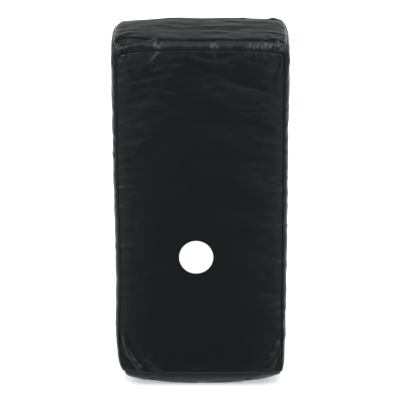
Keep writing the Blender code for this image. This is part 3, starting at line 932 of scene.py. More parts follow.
@dataclass
class PanelCutter:
    """Cuts the cover's panels and turns their edges into the seams."""

    surface: CoverSurface
    shelf: "FinishShelf"
    thickness: float = 0.9 * MILLIMETRE
    tuck: float = 1.6 * MILLIMETRE
    edge_step: float = 0.8 * MILLIMETRE
    growth: float = 1.05
    vent_hole: float = 6.4 * MILLIMETRE
    hole_depth: float = 10 * MILLIMETRE
    dull_from: float = 0.8 * MILLIMETRE
    dull_to: float = 2.6 * MILLIMETRE
    sharp_over: float = 55.0

    def cut(self, name: str, stretch: Stretch, replaces: str) -> None:
        """Makes one panel.

        Args:
            name: Its name.
            stretch: The part of the side that it covers.
            replaces: The frame's node that it stands for.
        """
        axes = [
            low + graded(high - low, self.edge_step, stretch.step, self.growth)
            for low, high in zip(stretch.low, stretch.high)
        ]
        a, b = np.meshgrid(*axes)
        points, normals = self.surface.place(stretch.side, a, b)
        turned = np.cross(points[1, 0] - points[0, 0], points[0, 1] - points[0, 0]) @ normals[0, 0] > 0
        rim = ((1, 1), (1, 1), (0, 0))
        ring, ring_normals = np.pad(points, rim, mode="edge"), np.pad(normals, rim, mode="edge")
        places = np.pad(np.stack([a, b], axis=-1), rim, mode="edge")
        border = np.ones(ring.shape[:2], bool)
        border[1:-1, 1:-1] = False
        ring[border] -= ring_normals[border] * self.tuck
        flat, flat_places = ring.reshape(-1, 3), places.reshape(-1, 2)
        faces = self.pierce(stretch.side, flat, grid_faces(*ring.shape[:2], flip=not turned))
        used, renumbered = np.unique(faces, return_inverse=True)
        panel = mesh_object(name, flat[used], renumbered.reshape(-1, 4), flat_places[used])
        away = np.minimum(flat_places - stretch.low, np.array(stretch.high) - flat_places).min(axis=1)
        share = 1.0 - smooth_step(self.dull_from, self.dull_to, away)
        panel.data.attributes.new(SEAM_SHARE, "FLOAT", "POINT").data.foreach_set("value", share[used])
        self.thicken(panel)
        self.shelf.dress(panel, COATED_FABRIC, [replaces])

    def pierce(self, side: Side, points: Array, faces: Array) -> Array:
        """Cuts the vents' holes and draws their edges round.

        Args:
            side: The side.
            points: The points of its grid; those round the holes are moved.
            faces: Its faces.

        Returns:
            The faces that are left.
        """
        for vent in self.surface.vents:
            if vent.side is not side:
                continue
            own = vent.to_own(points)
            away = np.hypot(own[:, 0], own[:, 1])
            near = np.abs(own[:, 2]) < self.hole_depth
            middles = own[faces].mean(axis=1)
            inside = (np.hypot(middles[:, 0], middles[:, 1]) < self.vent_hole) & near[faces].all(axis=1)
            rim = np.intersect1d(faces[inside], faces[~inside])
            own[rim, :2] *= (self.vent_hole / away[rim])[:, None]
            points[rim] = vent.to_shield(own[rim])
            faces = faces[~inside]
        return faces

    def thicken(self, panel: bpy.types.Object) -> None:
        """Gives a panel its thickness, inwards, and keeps the folded edge at its seams sharp."""
        made = panel.modifiers.new("thickness", "SOLIDIFY")
        made.thickness, made.offset, made.use_even_offset = self.thickness, -1.0, False
        apply_modifiers(panel)
        panel.data.set_sharp_from_angle(angle=math.radians(self.sharp_over))


def apply_modifiers(piece: bpy.types.Object) -> None:
    """Bakes a piece's modifiers into its mesh."""
    graph = bpy.context.evaluated_depsgraph_get()
    baked = bpy.data.meshes.new_from_object(piece.evaluated_get(graph))
    piece.modifiers.clear()
    old = piece.data
    piece.data = baked
    bpy.data.meshes.remove(old)


def join(pieces: Sequence[Grid]) -> Grid:
    """Puts grids of quads into one set of points and faces."""
    starts = np.cumsum([0] + [len(points) for points, _ in pieces])
    faces = [faces + start for (_, faces), start in zip(pieces, starts)]
    return np.concatenate([points for points, _ in pieces]), np.concatenate(faces)


def tube(path: Array, radius: float | Array, sides: int, closed: bool) -> Grid:
    """A round cord along a path that never runs straight back.

    Args:
        path: The points of its middle line.
        radius: Its radius, or one for each point.
        sides: Points round it.
        closed: True where its ends meet.

    Returns:
        Its points and its faces; the ends of an open cord stay open.
    """
    ahead = np.roll(path, -1, axis=0) - np.roll(path, 1, axis=0) if closed else np.gradient(path, axis=0)
    ahead /= np.linalg.norm(ahead, axis=1, keepdims=True)
    first = np.cross(ahead, REARWARD)
    first /= np.linalg.norm(first, axis=1, keepdims=True)
    second = np.cross(first, ahead)
    angles = np.arange(sides) * TURN / sides
    ring = first[:, None] * np.cos(angles)[:, None] + second[:, None] * np.sin(angles)[:, None]
    points = path[:, None] + ring * np.broadcast_to(radius, len(path))[:, None, None]
    return points.reshape(-1, 3), grid_faces(len(path), sides, wrap=True, loop=closed)


@dataclass(frozen=True)
class Socket:
    """One output of a node."""

    node: bpy.types.Node
    name: str | int = 0

    @property
    def output(self) -> bpy.types.NodeSocket:
        """The socket itself."""
        return self.node.outputs[self.name]


Value = Socket | float | Colour


class NodeBench:
    """Adds linked nodes to a material or a node group."""

    def __init__(self, tree: bpy.types.NodeTree) -> None:
        """Takes the tree to build in."""
        self.tree = tree

    def plug(self, value: Value, socket: bpy.types.NodeSocket) -> None:
        """Links an output to an input, or sets the input's own value."""
        if isinstance(value, Socket):
            self.tree.links.new(value.output, socket)
        else:
            socket.default_value = (*value, 1.0) if isinstance(value, tuple) else value

    def add(self, kind: str, inputs: dict | None = None, out: str | int = 0, **settings) -> Socket:
        """Adds a node.

        Args:
            kind: Its type.
            inputs: A value, a colour or a Socket for each input that is set.
            out: The output that is wanted from it.
            **settings: Its properties.

        Returns:
            The wanted output.
        """
        made = self.tree.nodes.new(kind)
        for key, value in settings.items():
            setattr(made, key, value)
        for key, value in (inputs or {}).items():
            self.plug(value, made.inputs[key])
        return Socket(made, out)

    def maths(self, operation: str, *values: Value, clamp: bool = False) -> Socket:
        """Adds a sum of one kind or another."""
        return self.add("ShaderNodeMath", dict(enumerate(values)), operation=operation, use_clamp=clamp)

    def remap(
        self, value: Socket, low: float, high: float, new_low: float = 0.0, new_high: float = 1.0
    ) -> Socket:
        """Adds a change of range, held to its limits."""
        ends = {"From Min": low, "From Max": high, "To Min": new_low, "To Max": new_high}
        return self.add("ShaderNodeMapRange", {"Value": value, **ends}, clamp=True)

    def noise(self, place: Socket, scale: float, detail: float) -> Socket:
        """Adds a soft, uneven pattern."""
        return self.add("ShaderNodeTexNoise", {"Vector": place, "Scale": scale, "Detail": detail}, "Fac")

    def parts(self, vector: Socket) -> tuple[Socket, Socket, Socket]:
        """Adds the split of a vector into its three parts."""
        node = self.add("ShaderNodeSeparateXYZ", {0: vector}).node
        return Socket(node, "X"), Socket(node, "Y"), Socket(node, "Z")

    def bump(self, height: Socket, rise: float, under: Socket | None = None) -> Socket:
        """Adds the normal of a fine relief, over another where there is one."""
        inputs = {"Strength": 1.0, "Distance": rise, "Height": height}
        return self.add("ShaderNodeBump", {**inputs, "Normal": under} if under else inputs)

    def mix_colour(self, share: Value, first: Value, second: Value) -> Socket:
        """Adds a mix of two colours."""
        node = self.add("ShaderNodeMix", data_type="RGBA").node
        for key, value in (("Factor_Float", share), ("A_Color", first), ("B_Color", second)):
            self.plug(value, next(s for s in node.inputs if s.identifier == key))
        return Socket(node, next(i for i, s in enumerate(node.outputs) if s.identifier == "Result_Color"))

    def by_ray(self, glossy: Socket, camera: Socket, others: Socket) -> Socket:
        """Adds a choice of shader by the ray that meets it.

        Args:
            glossy: What mirroring faces see.
            camera: What the camera sees.
            others: What everything else sees.

        Returns:
            The shader.
        """
        path = self.add("ShaderNodeLightPath").node
        mirrored = self.add("ShaderNodeMixShader", {0: Socket(path, "Is Glossy Ray"), 1: others, 2: glossy})
        return self.add("ShaderNodeMixShader", {0: Socket(path, "Is Camera Ray"), 1: mirrored, 2: camera})


Fill = Callable[[NodeBench, Socket], Socket]


class EffectLibrary:
    """The effects that several finishes share, each built once as a node group."""

    pebbles_per_metre: ClassVar[float] = 1500.0
    rib: ClassVar[float] = 1.6 * MILLIMETRE
    thread: ClassVar[float] = 1.1 * MILLIMETRE

    def __init__(self) -> None:
        """Builds the groups."""
        self.grain = self.build("cloth_grain", "Height", self.fill_grain)
        self.creases = self.build("soft_creases", "Height", self.fill_creases)
        self.wear = self.build("handling_wear", "Mask", self.fill_wear, ())
        self.dust = self.build("settled_dust", "Mask", self.fill_dust)
        self.weave = self.build("woven_ribs", "Height", self.fill_weave)

    def build(
        self, name: str, output: str, fill: Fill, inputs: Sequence[str] = ("Place",)
    ) -> bpy.types.NodeTree:
        """Makes one group.

        Args:
            name: Its name.
            output: Its output, a value.
            fill: Adds its nodes between its inputs and its output.
            inputs: Its inputs, all vectors.

        Returns:
            The group.
        """
        tree = bpy.data.node_groups.new(name, "ShaderNodeTree")
        for one in inputs:
            tree.interface.new_socket(one, in_out="INPUT", socket_type="NodeSocketVector")
        tree.interface.new_socket(output, in_out="OUTPUT", socket_type="NodeSocketFloat")
        start, end = tree.nodes.new("NodeGroupInput"), tree.nodes.new("NodeGroupOutput")
        tree.links.new(fill(NodeBench(tree), Socket(start)).output, end.inputs[0])
        return tree

    def fill_grain(self, bench: NodeBench, place: Socket) -> Socket:
        """A fine pebbled grain, with a slow unevenness under it."""
        inputs = {"Vector": place, "Scale": self.pebbles_per_metre}
        pebbles = bench.add("ShaderNodeTexVoronoi", inputs, "Distance", feature="SMOOTH_F1")
        slow = bench.noise(place, 260.0, 4.0)
        return bench.maths("MULTIPLY_ADD", slow, 1.2, bench.maths("MULTIPLY", pebbles, 0.6))

    def fill_creases(self, bench: NodeBench, place: Socket) -> Socket:
        """Small soft creases in no order."""
        return bench.maths("MULTIPLY_ADD", bench.noise(place, 75.0, 2.0), 0.3, bench.noise(place, 22.0, 3.0))

    def fill_wear(self, bench: NodeBench, _: Socket) -> Socket:
        """Rubbed places: ridges and rims more than hollows."""
        return bench.remap(bench.add("ShaderNodeNewGeometry", None, "Pointiness"), 0.515, 0.60)

    def fill_dust(self, bench: NodeBench, place: Socket) -> Socket:
        """Faint dust on what faces up, in soft patches."""
        facing = bench.remap(bench.parts(bench.add("ShaderNodeNewGeometry", None, "Normal"))[2], 0.5, 1.0)
        return bench.maths("MULTIPLY", facing, bench.remap(bench.noise(place, 14.0, 5.0), 0.42, 0.75))

    def fill_weave(self, bench: NodeBench, place: Socket) -> Socket:
        """Ribs of heavy thread, crossed by finer ones."""
        along, across, _ = bench.parts(place)
        rib = bench.maths("SINE", bench.maths("MULTIPLY", across, TURN / self.rib))
        turn = bench.maths("MULTIPLY_ADD", rib, 0.9, bench.maths("MULTIPLY", along, TURN / self.thread))
        return bench.maths("MULTIPLY_ADD", bench.maths("SINE", turn), 0.5, rib)


@dataclass(frozen=True)
class Finish:
    """What a surface is made of and how its face catches light; its reliefs are in metres."""

    name: str
    colour: Colour
    roughness: float
    metallic: float = 0.0
    specular: float = 0.5
    roughness_spread: float = 0.05
    grain: float = 0.0
    creases: float = 0.0
    weave: float = 0.0
    worn_colour: Colour | None = None
    dust: float = 0.0
    sheen: float = 0.0
    solid_cells: float = 0.0
    seam_roughness: float = 0.0


class FinishShelf:
    """Builds each finish once, and dresses the pieces in them."""

    dust_colour: ClassVar[Colour] = (0.30, 0.29, 0.27)
    dust_roughness: ClassVar[float] = 0.6
    cells_per_metre: ClassVar[float] = 900.0

    def __init__(self) -> None:
        """Starts with the shared effects and no materials."""
        self.effects = EffectLibrary()
        self.made: dict[str, bpy.types.Material] = {}

    def dress(
        self,
        piece: bpy.types.Object,
        finish: Finish,
        replaces: Sequence[str] = (),
        body: str | None = SHIELD_BODY,
        slot: str | None = None,
    ) -> None:
        """Gives a piece its finish, its body and the nodes that it stands for.

        Args:
            piece: The piece.
            finish: Its finish.
            replaces: The frame's nodes that it stands for.
            body: The body that it rides on, or None to attach it to none.
            slot: Not used.
        """
        piece.data.materials.clear()
        piece.data.materials.append(self.get(finish))
        if body:
            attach(piece, body)
        if replaces:
            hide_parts(*replaces)
        LOG.info("%s: %d points, on %s", piece.name, len(piece.data.vertices), body or "two bodies")

    def get(self, finish: Finish) -> bpy.types.Material:
        """The material for a finish."""
        if finish.name not in self.made:
            self.made[finish.name] = self.build(finish)
        return self.made[finish.name]

    def build(self, finish: Finish) -> bpy.types.Material:
        """Makes the material for a finish.

        Args:
            finish: The finish.

        Returns:
            The material.
        """
        material = bpy.data.materials.new(finish.name)
        material.use_nodes = True
        material.diffuse_color = (*finish.colour, 1.0)
        bench = NodeBench(material.node_tree)
        if finish.grain or finish.creases or finish.weave:
            place = bench.add("ShaderNodeAttribute", None, "Vector", attribute_name=CLOTH_PLACES)
        else:
            place = bench.add("ShaderNodeTexCoord", None, "Object")
        uneven = bench.noise(place, 18.0, 5.0)
        spread = finish.roughness_spread
        rough = bench.remap(uneven, 0.3, 0.7, finish.roughness - spread, finish.roughness + spread)
        colour: Value = finish.colour
        if finish.worn_colour:
            mask = bench.add("ShaderNodeGroup", None, "Mask", node_tree=self.effects.wear)
            share = bench.maths("MULTIPLY", mask, uneven, clamp=True)
            colour = bench.mix_colour(share, colour, finish.worn_colour)
        if finish.dust:
            mask = bench.add("ShaderNodeGroup", {"Place": place}, "Mask", node_tree=self.effects.dust)
            share = bench.maths("MULTIPLY", mask, finish.dust)
            colour = bench.mix_colour(share, colour, self.dust_colour)
            rough = bench.maths("MULTIPLY_ADD", share, self.dust_roughness, rough)
        if finish.seam_roughness:
            seam = bench.add("ShaderNodeAttribute", None, "Fac", attribute_name=SEAM_SHARE)
            rough = bench.maths("MAXIMUM", rough, bench.maths("MULTIPLY", seam, finish.seam_roughness))
        shader = next(n for n in material.node_tree.nodes if n.type == "BSDF_PRINCIPLED")
        shader.inputs["Metallic"].default_value = finish.metallic
        shader.inputs["Specular IOR Level"].default_value = finish.specular
        shader.inputs["Sheen Weight"].default_value = finish.sheen
        bench.plug(finish.colour, shader.inputs["Base Color"])
        bench.plug(colour, shader.inputs["Base Color"])
        bench.plug(rough, shader.inputs["Roughness"])
        normal = self.relief(bench, finish, place)
        if normal:
            bench.plug(normal, shader.inputs["Normal"])
        return material

    def relief(self, bench: NodeBench, finish: Finish, place: Socket) -> Socket | None:
        """The fine relief of a finish, as a normal.

        Args:
            bench: Where to add it.
            finish: The finish.
            place: The place on the surface.

        Returns:
            The normal, or None where the finish is smooth.
        """
        normal: Socket | None = None
        effects = (self.effects.creases, self.effects.weave, self.effects.grain)
        for rise, group in zip((finish.creases, finish.weave, finish.grain), effects):
            if rise:
                height = bench.add("ShaderNodeGroup", {"Place": place}, "Height", node_tree=group)
                normal = bench.bump(height, rise, normal)
        if finish.solid_cells:
            inputs = {"Vector": place, "Scale": self.cells_per_metre}
            normal = bench.bump(bench.add("ShaderNodeTexVoronoi", inputs, "Distance"), finish.solid_cells)
        return normal


COATED_FABRIC = Finish(
    "coated_fabric",
    (0.0052, 0.0059, 0.0059),
    0.22,
    specular=0.36,
    roughness_spread=0.03,
    grain=0.00003,
    creases=0.0006,
    worn_colour=(0.020, 0.021, 0.021),
    dust=0.010,
    seam_roughness=0.5,
)
PIPING = Finish("piping", (0.008, 0.009, 0.009), 0.36, specular=0.3, worn_colour=(0.03, 0.03, 0.03))
WHITE_VINYL = Finish("white_vinyl", (0.84, 0.84, 0.83), 0.42, specular=0.4, grain=0.00002)
SOFT_FOAM = Finish("soft_foam", (0.030, 0.031, 0.033), 0.9, specular=0.2, solid_cells=0.0002)
FIRM_FOAM = Finish("firm_foam", (0.055, 0.056, 0.060), 0.9, specular=0.2, solid_cells=0.00015)
VENT_METAL = Finish("vent_metal", (0.10, 0.10, 0.105), 0.30, metallic=1.0, worn_colour=(0.42, 0.41, 0.40))
WEBBING = Finish(
    "webbing",
    (0.026, 0.027, 0.029),
    0.62,
    specular=0.4,
    weave=0.00022,
    sheen=0.25,
    worn_colour=(0.07, 0.07, 0.07),
)
PATCH_FABRIC = Finish("patch_fabric", (0.020, 0.021, 0.022), 0.50, specular=0.4, weave=0.00010, dust=0.05)
SLEEVE_RUBBER = Finish("sleeve_rubber", (0.022, 0.022, 0.023), 0.52, specular=0.35, grain=0.00008)
ZIP_TAPE = Finish("zip_tape", (0.020, 0.021, 0.022), 0.75, specular=0.3, weave=0.00008)
ZIP_TEETH = Finish("zip_teeth", (0.045, 0.046, 0.050), 0.32, worn_colour=(0.12, 0.12, 0.12))
ZIP_METAL = Finish("zip_metal", (0.30, 0.30, 0.31), 0.28, metallic=1.0, worn_colour=(0.45, 0.44, 0.42))
THREAD = Finish("thread", (0.085, 0.087, 0.092), 0.55, specular=0.4, sheen=0.2)


def folds(*rows: tuple[float, ...]) -> list[Relief]:
    """Folds from rows in millimetres: the places of both ends, the width, the rise and the bow."""
    made = []
    for row in rows:
        start_a, start_b, end_a, end_b, *rest = (value * MILLIMETRE for value in row)
        made.append(Fold((start_a, start_b), (end_a, end_b), *rest))
    return made


def puckers(*rows: tuple[float, float, float, float, float]) -> tuple[Pucker, ...]:
    """Puckers from rows in millimetres: the place, rise, width and reach, and then the lean."""
    return tuple(Pucker(*(value * MILLIMETRE for value in row[:4]), row[4]) for row in rows)


@dataclass
class Tailoring:
    """Lays the folds, puckers and seams of the real cover, where the photograph shows them."""

    surface: CoverSurface
    patch_margin: ClassVar[float] = 0.003
    seam_shoulder: ClassVar[Place] = (1.4, 2.6)  # drop and reach in millimetres, as in the list below
    shoulders: ClassVar[dict[tuple[Side, Side], Place]] = {
        (Side.FRONT, Side.TOP): (1.0, 1.1),
        (Side.TOP, Side.FRONT): (2.4, 2.6),
        (Side.FRONT, Side.BOTTOM): (1.8, 3.0),
        (Side.BOTTOM, Side.FRONT): (0.5, 0.8),
        (Side.FRONT, Side.LEFT): (1.3, 2.2),
        (Side.LEFT, Side.FRONT): (1.3, 2.2),
        (Side.FRONT, Side.RIGHT): (2.2, 3.0),
        (Side.RIGHT, Side.FRONT): (2.4, 3.4),
    }

    def build(self) -> None:
        """Lays everything."""
        self.hold_flat()
        self.sew_seams()
        self.gather_front()
        self.fold_front()
        self.gather_top()
        self.soften_sides()

    def sew_seams(self) -> None:
        """Rolls every panel's edge into its seams."""
        apart = ({Side.FRONT, Side.REAR}, {Side.LEFT, Side.RIGHT}, {Side.TOP, Side.BOTTOM})
        for side in Side:
            for other in Side:
                if other is side or {side, other} in apart:
                    continue
                drop, reach = self.shoulders.get((side, other), self.seam_shoulder)
                edge = self.surface.edge(side, other)
                self.surface.add(side, Shoulder(edge, drop * MILLIMETRE, reach * MILLIMETRE))

    def hold_flat(self) -> None:
        """Keeps the rear flat under the patches and along the zip."""
        middle, margin = self.surface.form.middle_z, self.patch_margin
        zones = []
        for handle in ("forearm_strap", "hand_grip", "carry_handle"):
            for end in ("low", "high"):
                low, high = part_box(f"{handle}_patch_{end}")
                near = (low.x - margin, low.z - middle - margin)
                zones.append(CalmZone(near, (high.x + margin, high.z - middle + margin)))
        low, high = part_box("zip_tape_upper")
        lower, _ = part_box("zip_tape_lower")
        zones.append(CalmZone((low.x, lower.z - middle), (high.x, high.z - middle)))
        self.surface.calm[Side.REAR] = zones

    def gather_front(self) -> None:
        """Lays the puckers along the front's side seams."""
        right = puckers(
            (262, 1.1, 5, 20, 0.3), (232, 1.1, 6, 30, 0.3), (214, 1.1, 5, 30, 0), (176, 1.7, 9, 60, 0.45),
            (150, 1.7, 5, 30, 0.1), (128, 2.1, 5, 34, -0.2), (100, 2.0, 5, 26, -0.3), (78, 2.1, 5, 32, -0.25),
            (52, 3.4, 6, 30, -0.5), (26, 2.4, 5, 48, -0.45), (4, 1.7, 5, 26, -0.2), (-27, 3.4, 4.5, 48, -0.1),
            (-52, 2.0, 6, 26, -0.3), (-80, 1.4, 5, 22, -0.2), (-104, 3.4, 5.5, 36, -0.3),
            (-132, 1.7, 6, 24, -0.3), (-160, 1.4, 6, 26, -0.2), (-196, 3.4, 5.5, 38, -0.27),
            (-214, 2.1, 5, 26, -0.3), (-246, 3.4, 6, 30, -0.3),
        )
        left = puckers(
            (286, 2.8, 4, 16, -0.4), (262, 1.7, 5, 20, 0.1), (242, 1.7, 6, 24, -0.1), (222, 1.4, 5, 20, 0),
            (196, 2.4, 6, 28, -0.1), (170, 1.7, 5, 22, 0), (146, 1.7, 6, 26, -0.05), (122, 3.1, 5, 38, -0.1),
            (98, 2.0, 5, 24, 0), (78, 2.1, 6, 28, -0.05), (56, 2.0, 5, 30, 0), (36, 2.0, 5, 26, -0.1),
            (14, 2.1, 6, 30, 0), (-8, 1.7, 5, 26, 0.05), (-34, 2.0, 5, 28, 0), (-71, 3.4, 5, 42, -0.08),
            (-98, 1.7, 6, 24, 0), (-126, 1.4, 6, 22, 0.1), (-152, 1.7, 6, 24, 0.1), (-184, 1.7, 5, 22, 0.2),
        )
        self.surface.sew(Side.FRONT, Side.RIGHT, right)
        self.surface.sew(Side.FRONT, Side.LEFT, left)
        base = seeded_puckers(31, -0.11, 0.125, 0.016, 0.0004, 0.0035, 0.010)
        self.surface.sew(Side.FRONT, Side.BOTTOM, base)

    def fold_front(self) -> None:
        """Lays the long folds that run from the front's corners, and the cloth's slow waves."""
        self.surface.add(
            Side.FRONT,
            *folds(
                (-80, 345, -106, 308, 3, 4.6, 1), (-90, 344, -125, 298, 7, 1.2),
                (-167, 299, -148, 311, 2.6, 3.2, -1), (-164, 330, -133, 290, 6, 1.4),
                (-160, 340, -144, 336, 2.4, 2), (-159, -264, -113, -356, 4.6, 5.6, 9),
                (-154, -270, -138, -298, 3, 1.4, 0), (-126, -282, -72, -348, 6.5, 3.2, 5),
                (-144, -312, -126, -342, 3, 2.4), (-100, -310, -86, -342, 4, 1.2),
                (-159, -308, -130, -342, 5, -3), (167, -270, 132, -328, 3, 4.6, -3),
                (166, -296, 133, -342, 3.2, 3.2, -2), (156, -316, 143, -342, 3, 2),
                (165.5, -283, 164.5, -338, 2.6, 2.4), (164, 332, 150, 270, 4, 2.4),
                (168, 300, 156, 245, 4, 1.8), (150, 342, 128, 312, 4, 1.4), (50, 205, 156, 134, 11, 0.7),
                (120, 230, 160, 212, 6, 1.2),
            ),
            Ripples(11, (0.070, 0.026), 0.00030, 0.35, zone=Zone((0.0, 0.0), (0.135, 0.31), outside=True)),
            Ripples(12, (0.150, 0.110), 0.00035),
        )

    def gather_top(self) -> None:
        """Lays the puckers of the top seam and the creases of the top."""
        seam = puckers(
            (-160, 2.8, 3, 8, 0.4), (-151, 2.2, 2.6, 8, -0.3), (-138, 0.9, 4, 10, -0.3),
            (-120, 0.7, 4.5, 9, 0.2), (-84.5, 3.2, 2.6, 13, 0.1), (-74, -0.8, 4, 10, 0.3),
            (-52, 0.5, 5, 8, -0.1), (-20, 0.5, 4.5, 9, 0.2), (24.5, 3.4, 2.4, 15, 0.05),
            (31, -1.4, 2.4, 12, -0.2), (58, 0.5, 4, 8, 0.1), (85, 0.8, 2.6, 9, 0.1),
            (95, 1.5, 2.4, 10, -0.1), (107, 1.5, 2.6, 10, 0.1), (125, 2.4, 2.8, 12, -0.2),
            (136, 2.4, 2.6, 11, 0.3), (147, 3, 3, 12, -0.2), (158, 3, 2.8, 10, 0.3),
        )
        self.surface.sew(Side.FRONT, Side.TOP, seam)
        over_roll = tuple(
            Pucker(one.place, one.rise * (1.1 if one.place > 0.1 else 0.55), one.width * 1.5, 0.022, one.lean)
            for one in seam
        )
        over_roll += seeded_puckers(25, -0.15, 0.15, 0.011, 0.0006, 0.0040, 0.020)
        self.surface.add(Side.TOP, Gathers(self.surface.edge(Side.TOP, Side.FRONT), over_roll))
        self.surface.add(
            Side.TOP,
            Dip((0.0, 0.033), (0.300, 0.016), -0.0006),
            Dip((-0.140, 0.028), (0.028, 0.0095), -0.0044),
            Dip((-0.112, 0.025), (0.022, 0.0065), -0.0020),
            Dip((-0.0785, 0.016), (0.0036, 0.008), -0.0014),
            *folds(
                (-166, 5, -84, 22, 3.2, 3.4, 1), (-90, 27, -80, 13, 1.8, 1.6), (-80, 25, -88, 17, 1.8, 1.4),
                (-160, 2.5, -148, 11, 2.2, 2), (-154, 2, -140, 10, 2.2, 1.8), (-164, 22, -148, 8, 2.6, 2),
                (-165, 6, -115, 30, 4, 1.8, 2), (-165, 3, -90, 16, 4, 1.3, 1), (-160, 50, -125, 70, 4, 1.3),
                (-165, 64, -120, 72, 4, 1), (-165, 82, -115, 90, 5, 1), (166, 4, 130, 14, 3, 1.9, 1),
                (166, 8, 135, 30, 3.6, 1.6), (168, 20, 125, 40, 4, 1.2, 2), (165, 60, 110, 74, 4.5, 1.1),
                (85, 60, 0, 72, 5, 0.8), (-30, 96, 90, 106, 6, 0.8), (-120, 110, -10, 104, 6, 0.8),
                (30, 132, 140, 138, 6, 0.8),
            ),
            Ripples(21, (0.080, 0.036), 0.00022, 0.35, zone=Zone((0.0, 0.105), (0.30, 0.075))),
            Ripples(22, (0.060, 0.040), 0.00020, 0.3),
            Ripples(23, (0.017, 0.012), 0.00042, 0.6, zone=Zone((0.150, 0.022), (0.040, 0.036))),
            Ripples(24, (0.017, 0.012), 0.00036, 0.6, zone=Zone((-0.158, 0.030), (0.028, 0.050))),
        )
        self.surface.sew(Side.TOP, Side.REAR, seeded_puckers(41, -0.155, 0.155, 0.015, 0.0010, 0.0040, 0.016))

    def soften_sides(self) -> None:
        """Lays the creases of the sides, the base and the rear."""
        surface = self.surface
        creases = {
            Side.LEFT: folds((336, 4, 310, 60, 6, -1.2), (318, 2, 300, 30, 4, 1.2)),
            Side.RIGHT: folds((338, 4, 312, 60, 6, -1), (322, 2, 300, 40, 4, 1.2)),
        }
        for side, seed in ((Side.LEFT, 51), (Side.RIGHT, 53)):
            slow = Ripples(seed, (0.060, 0.070), 0.0004, 0.25)
            surface.add(side, *creases[side], slow, Ripples(seed + 1, (0.022, 0.050), 0.00015, 0.5))
        near_front = Zone((0.0, 0.02), (0.3, 0.035))
        surface.add(Side.BOTTOM, Ripples(55, (0.050, 0.030), 0.0004, 0.3, zone=near_front))
        surface.add(Side.REAR, Ripples(56, (0.120, 0.110), 0.0009))
        surface.add(Side.REAR, Ripples(57, (0.050, 0.040), 0.00035, 0.35))
        for side in (Side.LEFT, Side.RIGHT):
            seed = 61 if side is Side.LEFT else 62
            surface.sew(side, Side.REAR, seeded_puckers(seed, -0.33, 0.33, 0.019, 0.0010, 0.0042, 0.017))
        surface.sew(Side.BOTTOM, Side.REAR, seeded_puckers(63, -0.15, 0.15, 0.020, 0.0005, 0.0040, 0.012))
        for side in (Side.TOP, Side.BOTTOM):
            for other in (Side.LEFT, Side.RIGHT):
                seed = 70 + 2 * int(side is Side.TOP) + int(other is Side.RIGHT)
                surface.sew(side, other, seeded_puckers(seed, 0.012, 0.155, 0.013, 0.0010, 0.0036, 0.014))


